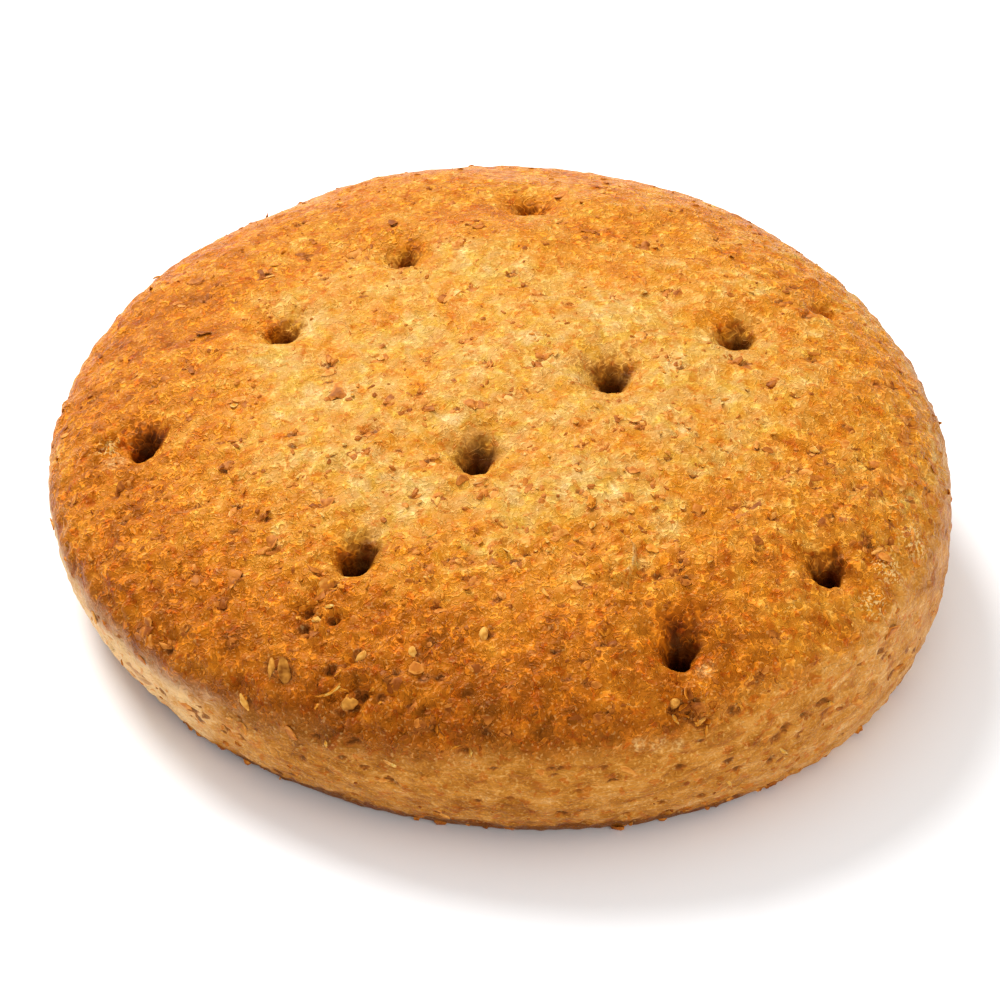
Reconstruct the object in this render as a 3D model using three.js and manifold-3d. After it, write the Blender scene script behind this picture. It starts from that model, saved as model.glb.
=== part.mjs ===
// A wholemeal hallulla: a round, flat, docked bread roll.
// Millimetres, +Z up, origin on the table under the middle of the plan. The front of the roll faces -Y.
import * as THREE from "three";
import { mergeVertices } from "three/addons/utils/BufferGeometryUtils.js";
import Module from "manifold-3d";

const wasm = await Module();
wasm.setup();

// Driving dimensions of the roll
const WIDEST_RADIUS = 55;
const CROWN_HEIGHT = 29.3;
const WIDEST_LEVEL = 13.1;
const BASE_RADIUS = 51.4;
const BASE_CENTRE = new THREE.Vector2(1.35, 0);
const CROWN_LEAN = new THREE.Vector2(-2.8, -1.2); // how far the crown stands off the middle of the base
const RISE = new THREE.Vector2(0.15, 0.078); // share by which the roll is thicker towards +X and +Y
const SHOULDER_ROUNDNESS = { across: 2.52, upward: 2.8 }; // exponents of the dome's superellipse
const PLAN_LOBES = [
  { order: 2, swell: 0.0324, towards: THREE.MathUtils.degToRad(-51.6) },
  { order: 3, swell: 0.0109, towards: THREE.MathUtils.degToRad(-35.5) },
];

// Gentle waves that the oven left in the crown: depth and length of each, and the way that it runs
const CROWN_WAVES = [
  { depth: 0.32, length: 34, towards: 0.4, start: 0.6 },
  { depth: 0.26, length: 23, towards: 2.1, start: 2.0 },
  { depth: 0.18, length: 15, towards: 1.2, start: 4.4 },
];

// Docking holes, pressed straight down before baking: place, radius of neck and mouth, and depth
const DOCK_HOLES = [
  { name: "back", x: 4.2, y: 34.2, neck: 1.3, mouth: 2.6, depth: 9 },
  { name: "back_left", x: -11.5, y: 23.7, neck: 1.3, mouth: 3.0, depth: 10 },
  { name: "left_back", x: -26.8, y: 10.6, neck: 1.4, mouth: 2.9, depth: 11 },
  { name: "left", x: -42.4, y: -6.8, neck: 1.6, mouth: 3.1, depth: 11 },
  { name: "front_left", x: -16.2, y: -30.9, neck: 1.6, mouth: 3.1, depth: 14 },
  { name: "middle", x: -2.6, y: -16.5, neck: 1.5, mouth: 3.2, depth: 15 },
  { name: "middle_right", x: 12.9, y: -3.6, neck: 1.5, mouth: 3.1, depth: 14 },
  { name: "right_back", x: 28.1, y: 4.8, neck: 1.4, mouth: 2.9, depth: 12 },
  { name: "right_edge", x: 40.6, y: 11.8, neck: 0.8, mouth: 2.0, depth: 3 },
  { name: "right", x: 37.6, y: -33.0, neck: 1.5, mouth: 2.9, depth: 13 },
  { name: "front_right", x: 20.4, y: -45.9, neck: 1.6, mouth: 3.0, depth: 14 },
];
const WIDEST_MOUTH = Math.max(...DOCK_HOLES.map((hole) => hole.mouth));
const PULL_DEPTH = 0.9; // how far the crust is drawn down round the widest hole
const PULL_REACH = 4.6; // how far from the hole's axis that is felt
const FLARE_DEPTH = 3.6; // depth over which a mouth narrows to its neck

// A blister of crust that tore open, leaving a shallow scoop
const TORN_BLISTER = { x: 17.0, y: -32.5, turn: -0.9, length: 6.5, width: 3.4, depth: 0.9 };

// Bran flakes and cracked grain that stand proud of the crust
const GOLDEN_ANGLE = Math.PI * (3 - Math.sqrt(5));
const CRUST_FLAKES = { count: 84, length: [1.6, 2.9], width: [0.9, 1.5], thickness: [0.7, 1.0], seed: 11 };
const RIM_FLAKES = { count: 44, length: [1.3, 2.4], width: [0.9, 1.4], thickness: [0.8, 1.2], seed: 29 };
const RIM_LEVELS = [0.5, 1.9]; // heights between which bran clings to the foot of the side
const HOLE_CLEARANCE = 1.6; // flakes keep this far from the mouth of a hole
const LOWEST_CRUST_FLAKE = 0.9; // share of the way from crown to base below which only rim flakes lie

// Facets
const DOME_STEPS = 18;
const SIDE_STEPS = 7;
const SEGMENTS = 84;
const HOLE_SEGMENTS = 12;
const MERGE_DISTANCE = 1e-4;
const LEAN_STEPS = 8;
const AXIS_RADIUS = 1e-6;

// A repeatable stream of numbers from 0 to 1.
function randomStream(seed) {
  let state = seed >>> 0;
  return () => {
    state = (state + 0x6d2b79f5) >>> 0;
    let mixed = Math.imul(state ^ (state >>> 15), state | 1);
    mixed ^= mixed + Math.imul(mixed ^ (mixed >>> 7), mixed | 61);
    return ((mixed ^ (mixed >>> 14)) >>> 0) / 4294967296;
  };
}

const between = ([low, high], share) => THREE.MathUtils.lerp(low, high, share);

// A closed geometry as a solid. Triangles that collapse where a lathe meets its axis are dropped.
function solidOf(geometry) {
  const bare = geometry.clone();
  bare.deleteAttribute("normal");
  bare.deleteAttribute("uv");
  const merged = mergeVertices(bare, MERGE_DISTANCE);
  const corners = merged.index.array;
  const triVerts = [];
  for (let i = 0; i < corners.length; i += 3) {
    const [a, b, c] = corners.slice(i, i + 3);
    if (a !== b && b !== c && c !== a) triVerts.push(a, b, c);
  }
  return new wasm.Manifold(
    new wasm.Mesh({
      numProp: 3,
      vertProperties: merged.attributes.position.array,
      triVerts: new Uint32Array(triVerts),
    }),
  );
}

function geometryOf(solid) {
  const mesh = solid.getMesh();
  const geometry = new THREE.BufferGeometry();
  geometry.setAttribute("position", new THREE.BufferAttribute(mesh.vertProperties, 3));
  geometry.setIndex(new THREE.BufferAttribute(mesh.triVerts, 1));
  geometry.computeVertexNormals();
  return geometry;
}

// A lathe turned so that its axis is +Z.
function latheUpright(profile, segments) {
  return new THREE.LatheGeometry(profile, segments).rotateX(Math.PI / 2);
}

// The profile, as (radius, height): a superellipse dome, share 0 to 1 from the crown out to the widest level.
function domePoint(share) {
  const turn = (share * Math.PI) / 2;
  const radius = WIDEST_RADIUS * Math.sin(turn) ** (2 / SHOULDER_ROUNDNESS.across);
  const rise = Math.max(0, Math.cos(turn)) ** (2 / SHOULDER_ROUNDNESS.upward);
  return new THREE.Vector2(radius, WIDEST_LEVEL + (CROWN_HEIGHT - WIDEST_LEVEL) * rise);
}

// The side below it, which tucks in towards the base, share 0 to 1 downward.
function sidePoint(share) {
  const radius = WIDEST_RADIUS - (WIDEST_RADIUS - BASE_RADIUS) * share ** 2;
  return new THREE.Vector2(radius, WIDEST_LEVEL * (1 - share));
}

// Any point of the profile, share 0 to 1 from the crown to the base's edge.
function profilePoint(share) {
  const domeShare = DOME_STEPS / (DOME_STEPS + SIDE_STEPS);
  return share < domeShare ? domePoint(share / domeShare) : sidePoint((share - domeShare) / (1 - domeShare));
}

const planFactor = (angle) =>
  PLAN_LOBES.reduce((sum, lobe) => sum + lobe.swell * Math.cos(lobe.order * (angle - lobe.towards)), 1);

function crownWave(x, y) {
  return CROWN_WAVES.reduce((sum, wave) => {
    const along = x * Math.cos(wave.towards) + y * Math.sin(wave.towards);
    return sum + wave.depth * Math.sin((along / wave.length) * 2 * Math.PI + wave.start);
  }, 0);
}

function pullOfHoles(x, y) {
  return DOCK_HOLES.reduce((sum, hole) => {
    const away = Math.hypot(x - hole.x, y - hole.y) / PULL_REACH;
    return sum + PULL_DEPTH * (hole.mouth / WIDEST_MOUTH) * Math.exp(-away * away);
  }, 0);
}

// Takes a point of the plain lathe to its place on the uneven roll.
function settle(point) {
  const angle = Math.atan2(point.y, point.x);
  const radius = Math.hypot(point.x, point.y) * planFactor(angle);
  const x = radius * Math.cos(angle);
  const y = radius * Math.sin(angle);
  const height = point.z;
  const climb = height / CROWN_HEIGHT;
  const thicker = 1 + (RISE.x * x + RISE.y * y) / WIDEST_RADIUS;
  const placedX = x + BASE_CENTRE.x + CROWN_LEAN.x * climb;
  const placedY = y + BASE_CENTRE.y + CROWN_LEAN.y * climb;
  const onDome = THREE.MathUtils.smoothstep(height, WIDEST_LEVEL, CROWN_HEIGHT);
  const relief = onDome * (crownWave(placedX, placedY) - pullOfHoles(placedX, placedY));
  return point.set(placedX, placedY, height * thicker + relief);
}

// A point of the crust, with the frame that a flake lies in: outward normal, and one way along the surface.
function crustFrame(share, angle) {
  const step = 1e-3;
  const at = (s, a) => {
    const { x: radius, y: height } = profilePoint(s);
    return settle(new THREE.Vector3(radius * Math.cos(a), radius * Math.sin(a), height));
  };
  const origin = at(share, angle);
  const down = at(share + step, angle).sub(origin).normalize();
  const round = at(share, angle + step).sub(origin).normalize();
  const normal = down.clone().cross(round).normalize();
  return { origin, normal, round };
}

function bareRoll() {
  const profile = [new THREE.Vector2(0, CROWN_HEIGHT)];
  for (let i = 1; i <= DOME_STEPS; i++) profile.push(domePoint(i / DOME_STEPS));
  for (let i = 1; i <= SIDE_STEPS; i++) profile.push(sidePoint(i / SIDE_STEPS));
  profile.push(new THREE.Vector2(0, 0));
  const geometry = latheUpright(profile.reverse(), SEGMENTS);
  const position = geometry.attributes.position;
  const point = new THREE.Vector3();
  for (let i = 0; i < position.count; i++) {
    point.fromBufferAttribute(position, i);
    const onAxis = Math.hypot(point.x, point.y) < AXIS_RADIUS;
    if (onAxis) point.setX(0).setY(0);
    position.setXYZ(i, ...settle(point));
  }
  return solidOf(geometry);
}

// The pin that leaves a hole: round-nosed, straight, then flaring to a soft mouth above the crust.
function dockPin(hole, crustHeight) {
  const { neck, depth, mouth } = hole;
  const nose = Math.min(neck, depth * 0.5);
  const profile = [
    new THREE.Vector2(0, -depth),
    new THREE.Vector2(neck * 0.55, -depth + nose * 0.25),
    new THREE.Vector2(neck * 0.9, -depth + nose),
    new THREE.Vector2(neck, -Math.min(FLARE_DEPTH, depth * 0.6)),
    new THREE.Vector2(THREE.MathUtils.lerp(neck, mouth, 0.3), -FLARE_DEPTH * 0.42 * Math.min(1, depth / 6)),
    new THREE.Vector2(mouth, 0.15),
    new THREE.Vector2(mouth * 1.25, 3),
    new THREE.Vector2(0, 3),
  ];
  return solidOf(latheUpright(profile, HOLE_SEGMENTS).translate(hole.x, hole.y, crustHeight));
}

// Height of the crust straight above a place on the plan. The lean depends on it, so it is found in steps.
function crustHeightAt(x, y) {
  const point = new THREE.Vector3(0, 0, CROWN_HEIGHT);
  let height = CROWN_HEIGHT;
  for (let i = 0; i < LEAN_STEPS; i++) {
    const awayX = x - BASE_CENTRE.x - (CROWN_LEAN.x * height) / CROWN_HEIGHT;
    const awayY = y - BASE_CENTRE.y - (CROWN_LEAN.y * height) / CROWN_HEIGHT;
    const angle = Math.atan2(awayY, awayX);
    const radius = Math.min(Math.hypot(awayX, awayY) / planFactor(angle), WIDEST_RADIUS);
    const share = (Math.asin((radius / WIDEST_RADIUS) ** (SHOULDER_ROUNDNESS.across / 2)) * 2) / Math.PI;
    height = domePoint(share).y;
    point.set(radius * Math.cos(angle), radius * Math.sin(angle), height);
  }
  return settle(point).z;
}

function tornScoop() {
  const { x, y, turn, length, width, depth } = TORN_BLISTER;
  const scoop = new THREE.SphereGeometry(1, 10, 6).scale(length / 2, width / 2, depth).rotateZ(turn);
  return solidOf(scoop.translate(x, y, crustHeightAt(x, y)));
}

// One flake, lying on the crust at a frame, turned about the normal and sunk so that part of it shows.
function flake(frame, size, turn, sunk) {
  const across = frame.normal.clone().cross(frame.round);
  const lies = new THREE.Matrix4().makeBasis(frame.round, across, frame.normal);
  const grain = new THREE.IcosahedronGeometry(1, 0);
  grain.scale(size.length / 2, size.width / 2, size.thickness / 2).rotateZ(turn);
  grain.translate(0, 0, size.thickness * (0.5 - sunk));
  grain.applyMatrix4(lies).translate(...frame.origin);
  return solidOf(grain);
}

function flakeSize(kind, random) {
  return {
    length: between(kind.length, random()),
    width: between(kind.width, random()),
    thickness: between(kind.thickness, random()),
  };
}

const clearOfHoles = (point) =>
  DOCK_HOLES.every((hole) => Math.hypot(point.x - hole.x, point.y - hole.y) > hole.mouth + HOLE_CLEARANCE);

// Flakes spread over dome and side by the golden angle, so that each has about the same area of crust.
function crustFlakes() {
  const random = randomStream(CRUST_FLAKES.seed);
  const flakes = [];
  for (let i = 0; i < CRUST_FLAKES.count; i++) {
    const share = LOWEST_CRUST_FLAKE * Math.sqrt((i + 0.5) / CRUST_FLAKES.count);
    const frame = crustFrame(share, i * GOLDEN_ANGLE + 0.6 * random());
    const size = flakeSize(CRUST_FLAKES, random);
    const turn = random() * Math.PI;
    const sunk = between([0.5, 0.62], random());
    if (clearOfHoles(frame.origin)) flakes.push(flake(frame, size, turn, sunk));
  }
  return flakes;
}

// Flakes along the foot of the side.
function rimFlakes() {
  const random = randomStream(RIM_FLAKES.seed);
  const flakes = [];
  for (let i = 0; i < RIM_FLAKES.count; i++) {
    const angle = ((i + 0.8 * random()) / RIM_FLAKES.count) * 2 * Math.PI;
    const level = between(RIM_LEVELS, random());
    const sideShare = 1 - level / WIDEST_LEVEL;
    const share = (DOME_STEPS + SIDE_STEPS * sideShare) / (DOME_STEPS + SIDE_STEPS);
    const size = flakeSize(RIM_FLAKES, random);
    const turn = 0.5 * (random() - 0.5);
    flakes.push(flake(crustFrame(share, angle), size, turn, between([0.4, 0.55], random())));
  }
  return flakes;
}

// The slab that the roll rests on, which levels any bran that reaches under the base.
function table() {
  const side = 4 * WIDEST_RADIUS;
  return solidOf(new THREE.BoxGeometry(side, side, 10).translate(0, 0, -5));
}

function roll() {
  const pins = DOCK_HOLES.map((hole) => dockPin(hole, crustHeightAt(hole.x, hole.y)));
  let solid = bareRoll();
  for (const grain of [...crustFlakes(), ...rimFlakes()]) solid = solid.add(grain);
  for (const cut of [...pins, tornScoop(), table()]) solid = solid.subtract(cut);
  const crust = new THREE.MeshStandardMaterial({ color: 0xd08c3c, roughness: 0.85, metalness: 0 });
  const mesh = new THREE.Mesh(geometryOf(solid), crust);
  mesh.name = "loaf";
  return mesh;
}

const hallulla = new THREE.Group();
hallulla.add(roll());

export default hallulla;
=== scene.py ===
"""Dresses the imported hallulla, a docked wholemeal bread roll, around its CAD frame."""

import logging
import math
from dataclasses import astuple, dataclass, field
from enum import Enum
from functools import cached_property

import bpy
import numpy as np
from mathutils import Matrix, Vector, noise


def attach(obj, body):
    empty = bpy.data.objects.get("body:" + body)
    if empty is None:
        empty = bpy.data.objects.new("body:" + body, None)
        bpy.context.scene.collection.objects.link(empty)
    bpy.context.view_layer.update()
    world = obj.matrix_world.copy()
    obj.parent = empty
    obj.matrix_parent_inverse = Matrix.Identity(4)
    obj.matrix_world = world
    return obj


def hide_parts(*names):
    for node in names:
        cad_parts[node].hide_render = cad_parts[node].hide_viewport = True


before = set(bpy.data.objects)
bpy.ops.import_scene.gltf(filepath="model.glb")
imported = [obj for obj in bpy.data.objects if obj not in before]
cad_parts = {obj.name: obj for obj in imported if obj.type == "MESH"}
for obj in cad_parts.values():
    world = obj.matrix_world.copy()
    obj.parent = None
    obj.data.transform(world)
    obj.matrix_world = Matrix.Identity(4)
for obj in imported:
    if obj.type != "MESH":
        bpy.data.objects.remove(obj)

LOG = logging.getLogger("hallulla")
MM = 0.001  # metres in a millimetre: sizes below are in millimetres unless a name says otherwise
BODY = "root"
NODE = "loaf"

Colour = tuple[float, float, float]
Place = tuple[float, float, float]
Points = np.ndarray
Socket = bpy.types.NodeSocket
Value = Socket | float
Paint = Socket | Colour
Shades = tuple[tuple[float, Colour], ...]


def smoothstep(value: np.ndarray, low: float, high: float) -> np.ndarray:
    """Rises softly from 0 at low to 1 at high."""
    share = np.clip((value - low) / (high - low), 0.0, 1.0)
    return share * share * (3.0 - 2.0 * share)


def dough_noise(points: Points, size: float, seed: float = 0.0) -> np.ndarray:
    """A smooth random field that is the same in every run.

    Args:
        points: Places in millimetres, one row each.
        size: Breadth of the field's lumps in millimetres.
        seed: Shifts the field, so that two fields of one size differ.

    Returns:
        One value for each place, about -1 to 1.
    """
    scaled = (points / size + seed).tolist()
    return np.fromiter(map(noise.noise, scaled), float, len(scaled))


def bubbly_noise(points: Points, size: float, seed: float = 0.0) -> np.ndarray:
    """Distance to the nearest of scattered points, 0 on a point and about 1 between them.

    Args:
        points: Places in millimetres, one row each.
        size: Spacing of the scattered points in millimetres.
        seed: Shifts the field.

    Returns:
        One value for each place.
    """
    scaled = (points / size + seed).tolist()
    return np.fromiter((noise.voronoi(place)[0][0] for place in scaled), float, len(scaled))


@dataclass(frozen=True)
class Lobe:
    """One swelling of the roll's plan."""

    order: int
    swell: float
    towards: float


@dataclass(frozen=True)
class Wave:
    """One gentle wave that the oven left in the crown."""

    depth: float
    length: float
    towards: float
    start: float


@dataclass(frozen=True)
class RollForm:
    """The roll's smooth form, in the same sizes as the CAD solid."""

    widest_radius: float = 55.0
    crown_height: float = 29.3
    widest_level: float = 13.1
    base_radius: float = 51.2
    foot_round: float = 0.9
    base_centre: tuple[float, float] = (1.35, 0.0)
    crown_lean: tuple[float, float] = (-2.8, -1.2)
    rise: tuple[float, float] = (0.15, 0.078)
    roundness_across: float = 2.52
    roundness_upward: float = 2.8
    lobes: tuple[Lobe, ...] = (
        Lobe(2, 0.0324, math.radians(-51.6)),
        Lobe(3, 0.0109, math.radians(-35.5)),
    )
    waves: tuple[Wave, ...] = (
        Wave(0.32, 34.0, 0.4, 0.6),
        Wave(0.26, 23.0, 2.1, 2.0),
        Wave(0.18, 15.0, 1.2, 4.4),
    )
    profile_steps: int = 400
    lean_steps: int = 8

    @cached_property
    def profile(self) -> tuple[np.ndarray, np.ndarray, np.ndarray]:
        """Arc length from the crown, radius and height along the bare profile."""
        turn = np.linspace(0.0, math.pi / 2, self.profile_steps)
        dome_radius = self.widest_radius * np.sin(turn) ** (2 / self.roundness_across)
        climb = np.cos(turn).clip(0.0) ** (2 / self.roundness_upward)
        dome_height = self.widest_level + (self.crown_height - self.widest_level) * climb
        fall = np.linspace(0.0, 1.0, self.profile_steps)[1:]
        side_height = self.widest_level * (1 - fall)
        foot = np.clip(1 - side_height / self.foot_round, 0.0, 1.0)
        side_radius = self.widest_radius - (self.widest_radius - self.base_radius) * fall**2
        side_radius -= self.foot_round * (1 - np.sqrt(1 - foot**2))
        radius = np.concatenate([dome_radius, side_radius])
        height = np.concatenate([dome_height, side_height])
        arc = np.concatenate([[0.0], np.cumsum(np.hypot(np.diff(radius), np.diff(height)))])
        return arc, radius, height

    @property
    def sheet_radius(self) -> float:
        """Arc length from the crown to the edge of the base."""
        return float(self.profile[0][-1])

    def plan_factor(self, angle: np.ndarray) -> np.ndarray:
        """Share by which the plan swells at each angle."""
        return 1 + sum(lobe.swell * np.cos(lobe.order * (angle - lobe.towards)) for lobe in self.lobes)

    def wave_height(self, x: np.ndarray, y: np.ndarray) -> np.ndarray:
        """Height of the oven's waves over the plan."""
        total = np.zeros_like(x)
        for wave in self.waves:
            along = x * math.cos(wave.towards) + y * math.sin(wave.towards)
            total += wave.depth * np.sin(2 * math.pi * along / wave.length + wave.start)
        return total

    def settle(self, radius: np.ndarray, angle: np.ndarray, height: np.ndarray) -> Points:
        """Takes points of the plain turned profile to their places on the uneven roll.

        Args:
            radius: Distance from the profile's axis.
            angle: Direction from the axis, in radians.
            height: Height above the table.

        Returns:
            The places, one row each.
        """
        reach = radius * self.plan_factor(angle)
        x, y = reach * np.cos(angle), reach * np.sin(angle)
        climb = height / self.crown_height
        thicker = 1 + (self.rise[0] * x + self.rise[1] * y) / self.widest_radius
        placed_x = x + self.base_centre[0] + self.crown_lean[0] * climb
        placed_y = y + self.base_centre[1] + self.crown_lean[1] * climb
        on_dome = smoothstep(height, self.widest_level, self.crown_height)
        placed_z = height * thicker + on_dome * self.wave_height(placed_x, placed_y)
        return np.stack([placed_x, placed_y, placed_z], axis=-1)

    def from_sheet(self, sheet: Points) -> tuple[Points, np.ndarray]:
        """Lays a flat sheet of dough over the roll.

        Args:
            sheet: Flat places, whose distance from the middle is an arc length from the crown.

        Returns:
            The places on the roll, and the height of each on the bare profile.
        """
        arc, radius, height = self.profile
        away = np.hypot(sheet[:, 0], sheet[:, 1])
        angle = np.arctan2(sheet[:, 1], sheet[:, 0])
        bare_height = np.interp(away, arc, height)
        return self.settle(np.interp(away, arc, radius), angle, bare_height), bare_height

    def bare_radius(self, bare_height: np.ndarray) -> np.ndarray:
        """Radius of the bare profile at heights on its dome."""
        _, radius, height = self.profile
        dome = slice(0, self.profile_steps)
        return np.interp(-bare_height, -height[dome], radius[dome])

    def height_at(self, x: np.ndarray, y: np.ndarray) -> np.ndarray:
        """Height of the smooth crust above places of the plan, found in steps because of the lean."""
        _, radius, height = self.profile
        dome = slice(0, self.profile_steps)
        level = np.full_like(x, self.crown_height)
        for _ in range(self.lean_steps):
            climb = level / self.crown_height
            away_x = x - self.base_centre[0] - self.crown_lean[0] * climb
            away_y = y - self.base_centre[1] - self.crown_lean[1] * climb
            angle = np.arctan2(away_y, away_x)
            reach = np.hypot(away_x, away_y) / self.plan_factor(angle)
            level = np.interp(reach, radius[dome], height[dome])
        return self.settle(np.minimum(reach, self.widest_radius), angle, level)[:, 2]


@dataclass(frozen=True)
class DockHole:
    """A hole pricked straight down through the crust. Its trumpet mouth ends in a narrow shaft."""

    name: str
    x: float
    y: float
    neck: float
    mouth: float
    depth: float
    # How dark the painted shade on this hole's walls is.
    painted_shade: float = 1.0
    throat_margin: float = 1.2
    mouth_spread: float = 2.05
    steepness: float = 1.0
    far_slope: float = 0.3
    near_dish: float = 0.65
    shaft_taper: float = 0.75
    crowding: float = 5.0
    tear: float = 0.16
    tears_around: float = 1.3
    tear_stretch: float = 0.2
    streaks_around: float = 2.6
    streak_stretch: float = 0.12
    streak_share: float = 0.8
    # The weights below place painted shade on the walls: most on the far wall, which faces away from the key
    # lamp, more on the right, and streaky.
    right_shade: float = 0.65
    wall_share: float = 0.42
    far_wall_share: float = 0.68
    wall_streaks: float = 0.3
    dark_streaks: float = 0.6
    least_shaft: float = 0.5
    floor_roundness: float = 0.6
    path_steps: int = 120

    @property
    def reach(self) -> float:
        """Radius at which the crust begins to dip towards the hole."""
        return self.mouth_spread * self.mouth

    @cached_property
    def path(self) -> tuple[np.ndarray, np.ndarray, np.ndarray]:
        """Length, radius and depth along the trumpet, from its outer edge to the middle of its floor."""
        throat = self.neck + self.throat_margin
        dish = np.linspace(self.reach, throat, self.path_steps)
        dish_depth = 0.5 * self.steepness * (self.reach - dish) ** 2 / (self.reach - throat)
        start = math.atan(self.steepness)
        turn = np.linspace(start, math.pi / 2, self.path_steps // 2)[1:]
        bend_radius = self.throat_margin / (1 - math.sin(start))
        bend = throat - bend_radius * (np.sin(turn) - math.sin(start))
        bend_depth = dish_depth[-1] + bend_radius * (math.cos(start) - np.cos(turn))
        fall = np.linspace(0.0, 1.0, self.path_steps)[1:]
        shaft_end = max(self.depth, bend_depth[-1] + self.least_shaft)
        shaft = self.neck * (1 - (1 - self.shaft_taper) * fall)
        shaft_depth = bend_depth[-1] + (shaft_end - bend_depth[-1]) * fall
        floor_turn = np.linspace(0.0, math.pi / 2, self.path_steps // 4)[1:]
        floor = shaft[-1] * np.cos(floor_turn)
        floor_depth = shaft_end + self.floor_roundness * shaft[-1] * np.sin(floor_turn)
        radius = np.concatenate([dish, bend, shaft, floor])
        depth = np.concatenate([dish_depth, bend_depth, shaft_depth, floor_depth])
        length = np.concatenate([[0.0], np.cumsum(np.hypot(np.diff(radius), np.diff(depth)))])
        return length, radius, depth

    @property
    def dish_depth(self) -> float:
        """Depth of the dish at the edge of its throat, on the far side."""
        return 0.5 * self.steepness * (self.reach - self.neck - self.throat_margin)

    def away(self, points: Points) -> np.ndarray:
        """Level distance of each place from the hole's axis."""
        return np.hypot(points[:, 0] - self.x, points[:, 1] - self.y)

    def outward(self, points: Points) -> np.ndarray:
        """Level direction of each place from the hole's axis."""
        return (points[:, :2] - (self.x, self.y)) / np.maximum(self.away(points), 1e-6)[:, None]

    def dips(self, points: Points) -> np.ndarray:
        """Which places dip towards the hole. The dish is longer on its far side."""
        return self.away(points) < self.reach * (1 + self.far_slope * self.outward(points)[:, 1])

    def draw_in(self, points: Points, form: RollForm) -> tuple[np.ndarray, np.ndarray, np.ndarray]:
        """Pulls the crust round the hole down into it, in place.

        Args:
            points: Places of the smooth crust that dip, changed in place.
            form: The roll's form, for the height of the crust.

        Returns:
            Each place's depth below the crust, the same weighted towards the far wall for its painted shade,
            and how dark the painted shade in the hole is.
        """
        length, radius, depth = self.path
        outward = self.outward(points)
        longer = self.far_slope * outward[:, 1]
        inward = np.clip(1 - self.away(points) / (self.reach * (1 + longer)), 0.0, 1.0)
        travel = self.reach * inward + (length[-1] - self.reach) * inward**self.crowding
        new_radius = np.interp(travel, length, radius)
        new_depth = np.interp(travel, length, depth)
        flatter = (1 - self.near_dish) * 0.5 * (1 - outward[:, 1])
        new_depth -= flatter * np.minimum(new_depth, self.dish_depth)
        new_radius *= 1 + longer * smoothstep(new_radius, self.neck + self.throat_margin, self.reach)
        ragged = np.column_stack([outward * self.tears_around, self.tear_stretch * new_depth + self.x])
        torn = 1 + self.tear * dough_noise(ragged, 1.0) * smoothstep(new_depth, 0.3, 1.6)
        points[:, :2] = (self.x, self.y) + outward * (new_radius * torn)[:, None]
        points[:, 2] = form.height_at(points[:, 0], points[:, 1]) - new_depth
        # Painted shade on the walls: streaky, darker with depth, and heaviest on the far wall, which faces
        # away from the key lamp.
        streaky = np.column_stack([outward * self.streaks_around, self.streak_stretch * new_depth + self.y])
        streaks = self.streak_share * dough_noise(streaky, 1.0) + self.right_shade * outward[:, 0]
        facing = self.wall_share + self.far_wall_share * outward[:, 1]
        far_wall_shade = new_depth * facing * (1 + self.wall_streaks * streaks)
        return new_depth, far_wall_shade, self.painted_shade * new_depth * (1 + self.dark_streaks * streaks)


# The last number of each hole is how dark the painted shade in it is.
DOCK_HOLES = (
    DockHole("back", 4.2, 34.2, 0.9, 2.6, 7.0, 0.55),
    DockHole("back_left", -11.5, 23.7, 0.9, 3.0, 8.0, 0.5),
    DockHole("left_back", -26.4, 9.8, 1.0, 2.9, 9.0, 0.6),
    DockHole("left", -42.4, -6.8, 1.1, 3.2, 11.0, 0.85),
    DockHole("front_left", -16.2, -31.6, 1.2, 3.3, 14.0, 1.1),
    DockHole("middle", -2.6, -16.5, 1.0, 3.2, 15.0, 1.05),
    DockHole("middle_right", 13.5, -3.8, 1.0, 3.2, 14.0, 0.85),
    DockHole("right_back", 28.8, 5.0, 0.9, 2.9, 12.0, 0.75),
    DockHole("right_edge", 40.2, 11.8, 0.6, 1.8, 2.2, 0.15),
    DockHole("right", 37.4, -33.0, 1.1, 3.0, 13.0, 0.9),
    DockHole("front_right", 20.1, -45.6, 1.2, 3.5, 14.0, 0.9),
)


class Mixing(Enum):
    """How one colour goes over another, as Blender calls it."""

    COVER = "MIX"
    TINT = "MULTIPLY"


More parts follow.
